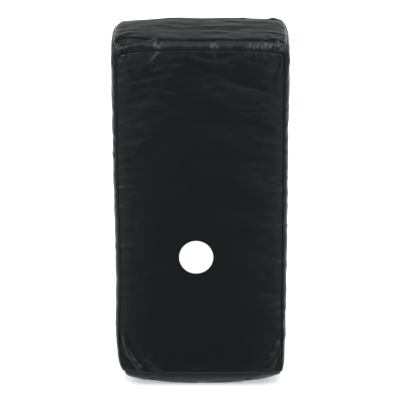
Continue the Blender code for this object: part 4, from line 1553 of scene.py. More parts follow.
@dataclass
class CoverSettling:
    """Lets the cover settle as cloth: pressed out from inside, slack in its panels, gathered at its seams."""

    form: ShieldForm
    step: float = 0.0065
    frames: int = 20
    pressure: float = 4.0
    slack: float = 0.003
    seam_gather: float = 0.03
    seam_width: float = 0.010
    furthest_out: float = 0.0030
    furthest_in: float = 0.0016
    seam_hold: float = 0.018
    seed: int = 5
    weld_digits: int = 6
    least_weight: float = 0.01
    calmed: ClassVar[dict[Side, float]] = {Side.FRONT: 0.5, Side.TOP: 0.55}

    def build(self, surface: CoverSurface) -> None:
        """Runs the simulation and lays its result on the cover as one more relief for each side.

        Args:
            surface: The cover.
        """
        sides = (Side.FRONT, *BOXING_SIDES)
        grids = {side: self.grid(side) for side in sides}
        starts = np.cumsum([0] + [grids[side][0].size for side in sides])
        points = np.concatenate([grids[side][2].reshape(-1, 3) for side in sides])
        rounded = np.round(points, self.weld_digits)
        _, kept, welded = np.unique(rounded, axis=0, return_index=True, return_inverse=True)
        welded = welded.ravel()
        faces = np.concatenate([self.faces(*grids[side][2:]) + start for side, start in zip(sides, starts)])
        moved = self.simulate(points[kept], welded[faces], *self.groups(sides, grids, kept))
        for side, start in zip(sides, starts):
            a, b, old, normals = grids[side]
            new = moved[welded[start : start + a.size]].reshape(old.shape)
            out = np.sum((new - old) * normals, axis=-1)
            low, step = (a[0, 0], b[0, 0]), (a[0, 1] - a[0, 0], b[1, 0] - b[0, 0])
            surface.add(side, Sampled(low, step, self.cap(side, a, b, out)))
            LOG.info("settled %s: from %.4f to %.4f m", side.value, out.min(), out.max())

    def grid(self, side: Side) -> tuple[Array, Array, Array, Array]:
        """Even places on a side's flat cloth.

        Args:
            side: The side.

        Returns:
            The places along it and up it or back along it, their points and their normals.
        """
        along, reach = self.form.half_sizes(side)
        low = -reach if side is Side.FRONT else 0.0
        a_axis = np.linspace(-along, along, round(2 * along / self.step) + 1)
        b_axis = np.linspace(low, reach, round((reach - low) / self.step) + 1)
        a, b = np.meshgrid(a_axis, b_axis)
        return a, b, self.form.surface(side, a, b), self.form.normals(side, a, b)

    def faces(self, points: Array, normals: Array) -> Array:
        """The quads of a side's grid, turned to face out."""
        row, column = points.shape[0] // 2, points.shape[1] // 2
        across = points[row, column + 1] - points[row, column]
        onward = points[row + 1, column] - points[row, column]
        outward = np.cross(onward, across) @ normals[row, column] > 0
        return grid_faces(*points.shape[:2], flip=not outward)

    def groups(self, sides: Sequence[Side], grids: dict, kept: Array) -> tuple[Array, Array]:
        """How far each point is held in place, and how far it is gathered.

        Args:
            sides: The sides in order.
            grids: Their grids.
            kept: The points that are left once the seams are sewn up.

        Returns:
            The two weights of each point that is left.
        """
        held, gathered = [], []
        draw = np.random.default_rng(self.seed)
        for side in sides:
            a, b, *_ = grids[side]
            along, reach = self.form.half_sizes(side)
            held.append(np.where(side.is_boxing & (b > reach - 1e-6), 1.0, 0.0).ravel())
            away = np.minimum(along - np.abs(a), b if side.is_boxing else reach - np.abs(b))
            phase = draw.uniform(90, 130) * (a + b) + draw.uniform(0, 6, a.shape) * 0.15
            near_seam = np.exp(-np.clip(away, 0, None) / self.seam_width)
            gathered.append((near_seam * (0.55 + 0.45 * np.sin(phase))).ravel())
        return np.concatenate(held)[kept], np.concatenate(gathered)[kept]

    def simulate(self, points: Array, faces: Array, held: Array, gathered: Array) -> Array:
        """Runs the cloth from its first frame to its last.

        Args:
            points: The points at the start.
            faces: The quads.
            held: How far each point is held.
            gathered: How far each point's cloth is gathered.

        Returns:
            The points at the end.
        """
        cage = mesh_object("cover_cage", points, faces)
        for name, weights in (("held", held), ("gathered", gathered)):
            group = cage.vertex_groups.new(name=name)
            for index in np.flatnonzero(weights > self.least_weight):
                group.add([int(index)], float(weights[index]), "REPLACE")
        cloth = cage.modifiers.new("cloth", "CLOTH")
        cloth.collision_settings.use_collision = False
        settings = cloth.settings
        settings.quality, settings.mass, settings.air_damping = 6, 0.25, 2.0
        settings.tension_stiffness = settings.compression_stiffness = 25.0
        settings.shear_stiffness, settings.bending_stiffness = 10.0, 1.5
        settings.effector_weights.gravity = 0.0
        settings.use_pressure, settings.uniform_pressure_force = True, self.pressure
        settings.vertex_group_mass, settings.vertex_group_shrink = "held", "gathered"
        settings.shrink_min, settings.shrink_max = -self.slack, self.seam_gather
        cloth.point_cache.frame_start, cloth.point_cache.frame_end = 1, self.frames
        scene = bpy.context.scene
        for frame_number in range(1, self.frames + 1):
            scene.frame_set(frame_number)
        apply_modifiers(cage)
        mesh = cage.data
        moved = np.empty(len(mesh.vertices) * 3)
        mesh.vertices.foreach_get("co", moved)
        bpy.data.objects.remove(cage)
        bpy.data.meshes.remove(mesh)
        scene.frame_set(1)
        return moved.reshape(-1, 3)

    def cap(self, side: Side, a: Array, b: Array, out: Array) -> Array:
        """Keeps the movement small, and nothing at the seams, where the panels meet.

        Args:
            side: The side.
            a: Places along it.
            b: Places up it or back along it.
            out: How far the cloth went out there.

        Returns:
            How far it is let out.
        """
        along, reach = self.form.half_sizes(side)
        centred = out - np.median(out)
        most = np.percentile(np.abs(centred), 98)
        centred *= min(1.0, self.furthest_out / most) * self.calmed.get(side, 1.0)
        limit = np.where(centred > 0, self.furthest_out, self.furthest_in)
        away = np.minimum(along - np.abs(a), np.minimum(reach - b, b if side.is_boxing else reach + b))
        return limit * np.tanh(centred / limit) * smooth_step(0.0, self.seam_hold, away)


@dataclass
class PieceMaker(ABC):
    """Makes some of the pieces that lie on the cover or in it."""

    surface: CoverSurface
    shelf: FinishShelf

    @abstractmethod
    def build(self) -> None:
        """Makes the pieces."""


@dataclass
class CoverMaker(PieceMaker):
    """The panels of the cover."""

    zip_low: float = 0.078
    zip_high: float = 0.092
    front_step: float = 3.0 * MILLIMETRE
    upright_step: float = 2.6 * MILLIMETRE
    level_step: float = 1.6 * MILLIMETRE
    flap_step: float = 2.0 * MILLIMETRE

    def build(self) -> None:
        """Makes every panel."""
        form = self.surface.form
        cutter = PanelCutter(self.surface, self.shelf)
        across, up = form.front_half
        front = Stretch(Side.FRONT, (-across, -up), (across, up), self.front_step)
        cutter.cut("front_panel", front, "cover_front")
        for side in BOXING_SIDES:
            along, reach = form.half_sizes(side)
            step = self.upright_step if side.is_upright_strip else self.level_step
            stretch = Stretch(side, (-along, 0.0), (along, reach), step)
            cutter.cut(f"{side.value}_panel", stretch, f"cover_{side.value}")
        across, up = form.rear_half
        low, high = self.zip_low - form.middle_z, self.zip_high - form.middle_z
        upper = Stretch(Side.REAR, (-across, high), (across, up), self.upright_step)
        lower = Stretch(Side.REAR, (-across, -up), (across, low), self.flap_step)
        cutter.cut("rear_panel", upper, "cover_rear")
        cutter.cut("zip_flap", lower, "cover_zip_flap")


@dataclass
class PipingMaker(PieceMaker):
    """The piping round the rear seam."""

    radius: float = 2.2 * MILLIMETRE
    places_a_side: int = 260
    sides: int = 14
    sway: float = 0.5 * MILLIMETRE
    back_share: float = 0.35
    raised: ClassVar[tuple[Triple, ...]] = ((0.149, 0.0075, 0.0030), (0.088, 0.006, 0.0012))

    def build(self) -> None:
        """Makes the piping, raised along the top where its ends were joined and beside that."""
        form = self.surface.form
        loop = []
        for side, way in ((Side.BOTTOM, 1), (Side.RIGHT, 1), (Side.TOP, -1), (Side.LEFT, -1)):
            along, reach = form.half_sizes(side)
            places = np.linspace(-along, along, self.places_a_side)[::way][:-1]
            loop.append(form.surface(side, places, np.full(len(places), reach)))
        path = np.concatenate(loop)
        outward = (path - np.array([0.0, 0.0, form.middle_z])) * np.array([1.0, 0.0, 1.0])
        outward /= np.linalg.norm(outward, axis=1, keepdims=True)
        x, z = path[:, 0], path[:, 2]
        lift = sum(rise * np.exp(-(((x - place) / reach) ** 2)) for place, reach, rise in self.raised)
        sway = self.sway * (np.sin(x * 61 + z * 23) + np.sin(x * 37 - z * 47 + 1.3))
        out = sway + lift * (z > form.middle_z)
        path = path + outward * out[:, None] * np.array([self.back_share, 1.0, 1.0])
        path[:, 2] = np.maximum(path[:, 2], self.radius + 0.1 * MILLIMETRE)
        points, faces = tube(path, self.radius, self.sides, closed=True)
        places = np.stack([points[:, 0] + points[:, 2], points[:, 1]], axis=-1)
        piece = mesh_object("rear_piping_cord", points, faces[:, ::-1], places)
        self.shelf.dress(piece, PIPING, ["rear_piping"])


@dataclass
class DiscMaker(PieceMaker):
    """The round white target on the front."""

    middle: Place = (-0.0085, 0.284)
    radius: float = 0.035
    thickness: float = 0.6 * MILLIMETRE
    edge: float = 0.25 * MILLIMETRE
    hem: float = 1.0 * MILLIMETRE
    tuck: float = 0.2 * MILLIMETRE
    gap: float = 0.1 * MILLIMETRE
    rings: int = 34
    sides: int = 180

    def build(self) -> None:
        """Makes the disc, lying on the cloth."""
        flat = np.linspace(0.0002, self.radius - self.edge, self.rings)
        bend = self.radius - self.edge + self.edge * np.array([0.5, 0.87, 1.0])
        rings = np.concatenate([flat, bend, [self.radius, self.radius - self.hem]])[:, None]
        fall = self.thickness - self.edge * np.array([0.13, 0.5, 1.0])
        lift = np.concatenate([np.full(self.rings, self.thickness), fall, [0.0, -self.tuck]]) + self.gap
        angles = np.arange(self.sides) * TURN / self.sides
        a = self.middle[0] + rings * np.cos(angles)
        b = self.middle[1] - self.surface.form.middle_z + rings * np.sin(angles)
        points, normals = self.surface.place(Side.FRONT, a, b)
        points = points + normals * lift[:, None, None]
        faces = capped_faces(len(rings), self.sides, flip=True)
        piece = mesh_object("target_disc_white", points, faces, np.stack([a, b], axis=-1))
        self.shelf.dress(piece, WHITE_VINYL, ["target_disc"])


@dataclass
class VentMaker(PieceMaker):
    """The metal air vents."""

    radius: float = 9.75 * MILLIMETRE
    bore: float = 5.0 * MILLIMETRE
    wall: float = 0.6 * MILLIMETRE
    dome: float = 0.8 * MILLIMETRE
    dome_power: float = 0.8
    flange: float = 0.4 * MILLIMETRE
    lip_share: float = 0.4
    depth: float = 3.4 * MILLIMETRE
    curl: float = 0.5 * MILLIMETRE
    lip: float = 0.8 * MILLIMETRE
    gap: float = 0.05 * MILLIMETRE
    washer: Place = (-1.8 * MILLIMETRE, -1.2 * MILLIMETRE)
    bevel: float = 0.3 * MILLIMETRE

    def build(self) -> None:
        """Makes each eyelet and its washer."""
        for vent in self.surface.vents:
            self.turn(vent, "eyelet", self.eyelet_profile(), 72)
            self.turn(vent, "washer", self.washer_profile(), 60)

    def eyelet_profile(self) -> list[Place]:
        """An eyelet's radius and height all round: a domed flange and a barrel with a rolled lip."""
        inner, end = self.bore, -self.depth
        middle, half = (inner + self.radius) / 2, (self.radius - inner) / 2
        low = self.flange * self.lip_share
        rise = self.flange + self.dome - low
        arc, roll = np.linspace(0, math.pi, 15), np.linspace(math.pi, TURN, 7)
        dome = [(middle + half * math.cos(t), low + rise * math.sin(t) ** self.dome_power) for t in arc]
        barrel = [(inner, z) for z in np.linspace(0.0, end, 4)[1:-1]]
        lip = [(inner + self.curl * (1 + math.cos(t)), end + self.curl * math.sin(t)) for t in roll]
        outer_wall = [(inner + self.wall, end + self.lip), (inner + self.wall, self.gap)]
        return [(self.radius, self.gap), *dome, *barrel, *lip, *outer_wall]

    def washer_profile(self) -> list[Place]:
        """A washer's radius and height all round, pressed against the cloth from inside."""
        inner, outer = self.bore + self.wall + 0.2 * MILLIMETRE, self.radius - 0.3 * MILLIMETRE
        low, top = self.washer
        rim = [(outer, low + 0.2 * MILLIMETRE), (outer, top - 0.1 * MILLIMETRE), (outer - self.bevel, top)]
        return [*rim, (inner, top), (inner, low), (outer - self.bevel, low)]

    def turn(self, vent: VentPlace, kind: str, profile: Sequence[Place], sides: int) -> None:
        """Turns one piece about its vent's middle line.

        Args:
            vent: The vent.
            kind: Which piece of the vent it is.
            profile: The radius and height of its corners, in order all round.
            sides: Points round it.
        """
        angles = np.arange(sides) * TURN / sides
        radius, height = np.array(profile).T[..., None]
        points = np.stack([radius * np.cos(angles), radius * np.sin(angles), height + 0 * angles], axis=-1)
        faces = grid_faces(len(profile), sides, flip=True, wrap=True, loop=True)
        piece = mesh_object(f"{kind}_{vent.name}", vent.to_shield(points), faces)
        self.shelf.dress(piece, VENT_METAL, [f"vent_{kind}_{vent.name}"])


@dataclass
class FoamMaker(PieceMaker):
    """The three layers of the foam block."""

    inset: float = 4.0 * MILLIMETRE
    front_gap: float = 2.5 * MILLIMETRE
    strike_depth: float = 0.045
    core_depth: float = 0.070
    pocket: float = 0.0130
    pocket_reach: float = 0.02
    pocket_depth: float = 0.006
    across_places: int = 80
    up_places: int = 150
    depth_places: int = 26

    def build(self) -> None:
        """Makes each layer."""
        depth = self.surface.form.depth
        first = self.strike_depth / depth
        second = first + self.core_depth / depth
        self.make_layer("strike_layer", 0.0, first, SOFT_FOAM)
        self.make_layer("core_layer", first, second, FIRM_FOAM)
        self.make_layer("rear_layer", second, 1.0 - self.inset / depth, SOFT_FOAM)

    def make_layer(self, name: str, low: float, high: float, finish: Finish) -> None:
        """Makes one layer of the block.

        Args:
            name: Its name.
            low: The share of the depth at which it starts.
            high: The share at which it ends.
            finish: Its finish.
        """
        form = self.surface.form
        level, side = np.linspace(-1, 1, self.across_places), np.ones(self.up_places)
        ups = np.linspace(-1, 1, self.up_places)
        across = np.concatenate([level[:-1], side, level[-2:0:-1], -side])
        up = np.concatenate([-np.ones(len(level) - 1), ups, np.ones(len(level) - 2), ups[::-1]])
        walls = form.points(across, np.linspace(low, high, self.depth_places)[:, None], up, self.inset)
        walls[..., 1] -= self.inset
        if low == 0.0:
            walls[0, :, 1] += self.inset
            walls[..., 1] = np.maximum(walls[..., 1], form.front_y + self.front_gap)
        for vent in self.surface.vents:
            own = vent.to_own(walls)
            near = np.hypot(own[..., 0], own[..., 1]) < self.pocket
            near &= np.abs(own[..., 2]) < self.pocket_reach
            own[..., 2] = np.where(near, np.minimum(own[..., 2], -self.pocket_depth), own[..., 2])
            walls = vent.to_shield(own)
        piece = mesh_object(name, walls, capped_faces(*walls.shape[:2]), closed=True)
        self.shelf.dress(piece, finish, [f"foam_{name}"])


@dataclass(frozen=True)
class Handle:
    """One loop of webbing across the rear panel."""

    name: str
    body: str
    x: float
    z: float
    upright: bool
    half_span: float
    rise: float
    width: float
    thickness: float
    foot: float = 0.045
    patch_margin: float = 0.006
    patch_thickness: float = 0.0012
    gap: float = 0.0003

    @property
    def base(self) -> float:
        """The height of the webbing's middle over the rear panel, at its feet."""
        return self.gap * 2 + self.patch_thickness + self.thickness / 2

    def height(self, along: Array) -> Array:
        """The height of the webbing's middle over the rear panel."""
        return self.base + self.rise * (1 - np.clip(np.abs(along / self.half_span), 0, 1) ** 4) ** 2

    def to_scene(self, along: Array, across: Array, height: Array, rear: float) -> Array:
        """Points of the handle's own frame, set on the shield.

        Args:
            along: Places along the handle from its middle.
            across: Places across it.
            height: Heights over the rear panel.
            rear: The rear panel's plane.

        Returns:
            The points.
        """
        if self.upright:
            return np.stack([self.x + across, rear + height, self.z + along], axis=-1)
        return np.stack([self.x + along, rear + height, self.z + across], axis=-1)


HANDLES = (
    Handle("forearm_strap", "forearm_loop", -0.080, 0.400, True, 0.115, 0.064, 0.050, 0.0024),
    Handle("hand_grip", "grip_loop", 0.095, 0.400, True, 0.085, 0.050, 0.025, 0.0020),
    Handle("carry_handle", "carry_loop", 0.0, 0.655, False, 0.085, 0.050, 0.025, 0.0020),
)


@dataclass
class StitchTool:
    """Lays rows of thread on the rear."""

    shelf: FinishShelf
    pitch: float = 4.6 * MILLIMETRE
    length: float = 3.4 * MILLIMETRE
    radius: float = 0.42 * MILLIMETRE
    sides: int = 6
    shares: ClassVar[Array] = np.array([0.0, 0.12, 0.35, 0.65, 0.88, 1.0])
    bow: ClassVar[Array] = np.array([-0.5, 0.35, 0.8, 0.8, 0.35, -0.5])  # in radii
    thickness: ClassVar[Array] = np.array([0.35, 0.95, 1.0, 1.0, 0.95, 0.35])

    def bead(self, start: Array, end: Array) -> Grid:
        """One stitch between two holes, bowed up a little."""
        path = start + (end - start) * self.shares[:, None] + REARWARD * (self.bow * self.radius)[:, None]
        return tube(path, self.radius * self.thickness, self.sides, closed=False)

    def row(self, path: Array) -> list[Grid]:
        """Stitches along a path.

        Args:
            path: Closely spaced points along it.

        Returns:
            The points and faces of each stitch.
        """
        run = np.concatenate([[0.0], np.cumsum(np.linalg.norm(np.diff(path, axis=0), axis=1))])
        count = max(1, int(run[-1] // self.pitch))
        pitch = run[-1] / count
        gap = (pitch - self.length) / 2
        pieces = []
        for i in range(count):
            ends = (pitch * i + gap, pitch * (i + 1) - gap)
            holes = (np.array([np.interp(end, run, path[:, k]) for k in range(3)]) for end in ends)
            pieces.append(self.bead(*holes))
        return pieces

    def lay(self, name: str, pieces: list[Grid], slot: str) -> None:
        """Makes one object of many stitches."""
        self.shelf.dress(mesh_object(name, *join(pieces)), THREAD, slot=slot)


def rounded_outline(half_a: float, half_b: float, corner: float, steps: int, between: int = 0) -> Array:
    """The outline of a rectangle with round corners.

    Args:
        half_a: Half its length.
        half_b: Half its width.
        corner: The radius of its corners.
        steps: Points round each corner.
        between: Points along each long edge, beside those of the corners.

    Returns:
        Its points in order.
    """
    flat_a, flat_b = half_a - corner, half_b - corner
    points = []
    for quarter, (a, b) in enumerate(((1, 1), (-1, 1), (-1, -1), (1, -1))):
        angles = math.pi / 2 * (quarter + np.linspace(0, 1, steps))
        points += [(a * flat_a + corner * math.cos(t), b * flat_b + corner * math.sin(t)) for t in angles]
        if quarter in (0, 2):
            points += [(a * v * flat_a, b * half_b) for v in np.linspace(1, -1, between + 2)[1:-1]]
    return np.array(points)


@dataclass
class HandleMaker:
    """The three rear handles."""

    form: ShieldForm
    shelf: FinishShelf
    stitches: StitchTool
    webbing_corner: float = 0.9 * MILLIMETRE
    patch_corner: float = 0.005
    patch_rim: ClassVar[Array] = np.array(  # how far in, in millimetres, and the share of the thickness
        [(0, 0), (0, 0.6), (0.12, 0.92), (0.4, 1), (2.2, 0.98), (3.4, 0.78), (4, 0.8), (5, 1), (9, 1)]
    )
    seam_ring: ClassVar[int] = 5  # the row of the rim along which it is sewn
    seam_share: ClassVar[float] = 0.82
    cross_margins: ClassVar[Triple] = (0.006, 0.004, 0.0032)
    stitch_lift: float = 0.05 * MILLIMETRE
    sleeve_half: float = 0.042
    sleeve_radius: float = 0.014
    sleeve_end: float = 0.006
    sleeve_groove: float = 0.6 * MILLIMETRE
    sleeve_groove_pitch: float = 5.6 * MILLIMETRE
    sleeve_sides: int = 48

    def build(self) -> None:
        """Makes every handle."""
        for handle in HANDLES:
            self.make_webbing(handle)
            for sign, label in ((-1, "low"), (1, "high")):
                self.make_patch(handle, label)
                self.sew_foot(handle, sign, label)
            if handle.name != "forearm_strap":
                self.make_sleeve(handle)

    def bend(self, handle: Handle, along: Array, across: Array, out: Array) -> Array:
        """Lays a section along a handle's arch.

        Args:
            handle: The handle.
            along: Places along it.
            across: Places across it, a row for each place along it.
            out: Heights over the webbing's middle, in the same way.

        Returns:
            The points, in rows.
        """
        height = handle.height(along)
        slope = np.gradient(height, along)
        scale = np.sqrt(1 + slope**2)
        a = along[:, None] - (slope / scale)[:, None] * out
        return handle.to_scene(a, across, height[:, None] + out / scale[:, None], self.form.rear_y)

    def make_webbing(self, handle: Handle) -> None:
        """Makes a handle's webbing: both feet and the arch in one piece.

        Args:
            handle: The handle.
        """
        reach = handle.half_span + handle.foot
        along = np.linspace(-reach, reach, 260)
        steps = np.hypot(np.diff(along), np.diff(handle.height(along)))
        run = np.concatenate([[0.0], np.cumsum(steps)])[:, None]
        thick = handle.thickness / 2
        corner = min(thick * 0.9, self.webbing_corner)
        outline = rounded_outline(handle.width / 2, thick, corner, 5, between=10)
        across, out = (outline[:, k] + 0 * run for k in (0, 1))
        points = self.bend(handle, along, across, out)
        places = np.stack([run + 0 * across, across + 3 * out], axis=-1)
        faces = capped_faces(*across.shape)
        piece = mesh_object(f"{handle.name}_webbing", points, faces, places, closed=True)
        ends = (handle.name, f"{handle.name}_foot_low", f"{handle.name}_foot_high")
        self.shelf.dress(piece, WEBBING, ends, body=None)
        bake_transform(piece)

    def make_patch(self, handle: Handle, label: str) -> None:
        """Makes the patch under one foot, with a softened rim, and its edge sewn down.

        Args:
            handle: The handle.
            label: The foot's name.
        """
        half_a, half_b = handle.foot / 2 + handle.patch_margin, handle.width / 2 + handle.patch_margin
        low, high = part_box(f"{handle.name}_patch_{label}")
        middle = (low + high) / 2
        ring = rounded_outline(half_a, half_b, self.patch_corner, 9)
        inset, share = self.patch_rim.T[..., None]
        shrink = np.clip(1 - inset * MILLIMETRE / np.array([half_a, half_b]), 0.02, 1)
        a, b = (ring[:, k] * shrink[:, k : k + 1] for k in (0, 1))
        a = a * ((high.z - low.z) if handle.upright else (high.x - low.x)) / 2 / np.abs(a).max()
        offset = (middle.z - handle.z) if handle.upright else (middle.x - handle.x)
        height = handle.gap + handle.patch_thickness * share + 0 * a
        points = handle.to_scene(offset + a, b, height, self.form.rear_y)
        places = np.stack([a, b], axis=-1)
        name = f"{handle.name}_patch_sewn_{label}"
        piece = mesh_object(name, points, capped_faces(*a.shape), places, closed=True)
        self.shelf.dress(piece, PATCH_FABRIC, [f"{handle.name}_patch_{label}"])
        seam_a, seam_b = (np.append(part[self.seam_ring], part[self.seam_ring, 0]) for part in (a, b))
        lift = np.full(len(seam_a), handle.gap + handle.patch_thickness * self.seam_share)
        seam = handle.to_scene(offset + seam_a, seam_b, lift, self.form.rear_y)
        self.stitches.lay(f"{handle.name}_patch_thread_{label}", self.stitches.row(seam), "patch_fabric")

    def sew_foot(self, handle: Handle, sign: int, label: str) -> None:
        """Sews one foot down: a box with a cross in it.

        Args:
            handle: The handle.
            sign: -1 for its lower or left foot, and 1 for the other.
            label: The foot's name.
        """
        near_margin, far_margin, side_margin = self.cross_margins
        near, far = handle.half_span + near_margin, handle.half_span + handle.foot - far_margin
        side = handle.width / 2 - side_margin
        corners = np.array([(near, -side), (far, -side), (far, side), (near, side)])
        rows = []
        for first, second in ((0, 1), (1, 2), (2, 3), (3, 0), (0, 2), (1, 3)):
            places = corners[first] + (corners[second] - corners[first]) * np.linspace(0.0, 1.0, 40)[:, None]
            heights = handle.height(places[:, 0]) + handle.thickness / 2 + self.stitch_lift
            path = handle.to_scene(sign * places[:, 0], places[:, 1], heights, self.form.rear_y)
            rows += self.stitches.row(path)
        self.stitches.lay(f"{handle.name}_foot_thread_{label}", rows, "webbing")

    def make_sleeve(self, handle: Handle) -> None:
        """Makes the padded sleeve round a grip's webbing.

        Args:
            handle: The grip or the carry handle.
        """
        half, radius = self.sleeve_half, self.sleeve_radius
        along = np.linspace(-half, half, 150)
        share = np.clip((half - np.abs(along)) / self.sleeve_end, 0, 1)
        radii = radius * (0.55 + 0.45 * np.sqrt(1 - (1 - share) ** 2)) * (1 - 0.03 * (along / half) ** 2)
        groove = self.sleeve_groove * (0.5 + 0.5 * np.cos(along * TURN / self.sleeve_groove_pitch))
        radii = (radii - groove * smooth_step(0.9, 1.0, share))[:, None]
        angles = np.arange(self.sleeve_sides) * TURN / self.sleeve_sides
        across = radii * np.cos(angles)
        points = self.bend(handle, along, across, radii * np.sin(angles) * 0.96)
        places = np.stack([along[:, None] + 0 * across, radius * angles + 0 * across], axis=-1)
        name = f"{handle.name}_sleeve_padded"
        piece = mesh_object(name, points, capped_faces(*across.shape), places, closed=True)
        self.shelf.dress(piece, SLEEVE_RUBBER, [f"{handle.name}_sleeve"], handle.body)


@dataclass
class ZipMaker:
    """The zip across the foot of the rear panel."""

    form: ShieldForm
    shelf: FinishShelf
    height: float = 0.085
    tape_half: float = 0.157
    chain_half: float = 0.147
    tape_width: float = 0.014
    tape_thickness: float = 0.8 * MILLIMETRE
    tape_depth: float = 1.2 * MILLIMETRE
    tape_gap: float = 0.15 * MILLIMETRE
    tooth_pitch: float = 2.1 * MILLIMETRE
    tooth_low: float = -0.9 * MILLIMETRE
    tooth_high: float = 0.6 * MILLIMETRE
    tooth_bevel: float = 0.2 * MILLIMETRE
    metal_bevel: float = 0.22 * MILLIMETRE
    # a tooth's height, half width and inset at each level, in millimetres
    tooth_sections: ClassVar[tuple[Triple, ...]] = (
        (2.75, 0.62, 0.45), (2.45, 0.70, 0.0), (1.0, 0.62, 0.0),
        (0.2, 0.74, 0.0), (-0.5, 0.70, 0.1), (-0.7, 0.45, 0.4),
    )

    def build(self) -> None:
        """Makes the tapes and the teeth, and finishes the metal parts."""
        for sign, label in ((-1, "lower"), (1, "upper")):
            self.make_tape(sign, label)
            self.make_teeth(sign, label)
        for node in ("zip_stop_left", "zip_stop_right", "zip_slider", "zip_pull"):
            self.finish_metal(node)

    def make_tape(self, sign: int, label: str) -> None:
        """Makes one tape.

        Args:
            sign: -1 below the teeth and 1 above them.
            label: Its name.
        """
        x = np.linspace(-self.tape_half, self.tape_half, 240)
        inner = np.linspace(0.0004, self.tape_width - 0.0003, 12)
        a, b = np.meshgrid(x, [self.tape_gap, *inner, self.tape_width])
        rear = np.full_like(a, self.form.rear_y - self.tape_depth)
        outer = np.stack([a, rear, self.height + sign * b], axis=-1)
        points = np.concatenate([outer, (outer - REARWARD * self.tape_thickness)[::-1]])
        flat = np.stack([b, a], axis=-1)
        rows, columns = points.shape[:2]
        end = np.arange(rows) * columns
        quads = [*grid_faces(rows, columns, loop=True), end, (end + columns - 1)[::-1]]
        piece = mesh_object(f"tape_{label}", points, quads, np.concatenate([flat, flat[::-1]]), closed=True)
        self.shelf.dress(piece, ZIP_TAPE, [f"zip_tape_{label}"])

    def make_teeth(self, sign: int, label: str) -> None:
        """Makes one row of teeth, meshed with the other.

        Args:
            sign: -1 for the lower row and 1 for the upper one.
            label: Its name.
        """
        start = -self.chain_half + 0.0012 + (self.tooth_pitch / 2 if sign > 0 else 0.0)
        places = start + self.tooth_pitch * np.arange(int((2 * self.chain_half - 0.002) // self.tooth_pitch))
        places = places[places <= self.chain_half - 0.0009]
        tooth = []
        for section in self.tooth_sections:
            rise, half, inset = (value * MILLIMETRE for value in section)
            low, high = self.form.rear_y + self.tooth_low + inset, self.form.rear_y + self.tooth_high - inset
            right = [(half, low), (half, high - self.tooth_bevel), (half - self.tooth_bevel, high)]
            left = [(-x, y) for x, y in right[::-1]]
            tooth += [(x, y, self.height + sign * rise) for x, y in (left[-1], *right, *left[:-1])]
        points = np.array(tooth) + places[:, None, None] * np.array([1.0, 0.0, 0.0])
        shape = capped_faces(len(self.tooth_sections), 6)
        faces = [face + len(tooth) * k for k in range(len(places)) for face in shape]
        piece = mesh_object(f"teeth_{label}", points, faces, closed=True)
        piece.data.shade_flat()
        self.shelf.dress(piece, ZIP_TEETH, [f"zip_teeth_{label}"])

    def finish_metal(self, node: str) -> None:
        """Rounds the edges of one of the frame's metal parts and gives it its finish.

        Args:
            node: The part's node.
        """
        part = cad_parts[node]
        for piece in part if isinstance(part, (list, tuple)) else [part]:
            piece.data.materials.clear()
            piece.data.materials.append(self.shelf.get(ZIP_METAL))
            soft = piece.modifiers.new("soft_edges", "BEVEL")
            soft.width, soft.segments, soft.limit_method = self.metal_bevel, 3, "ANGLE"
            soft.harden_normals = False


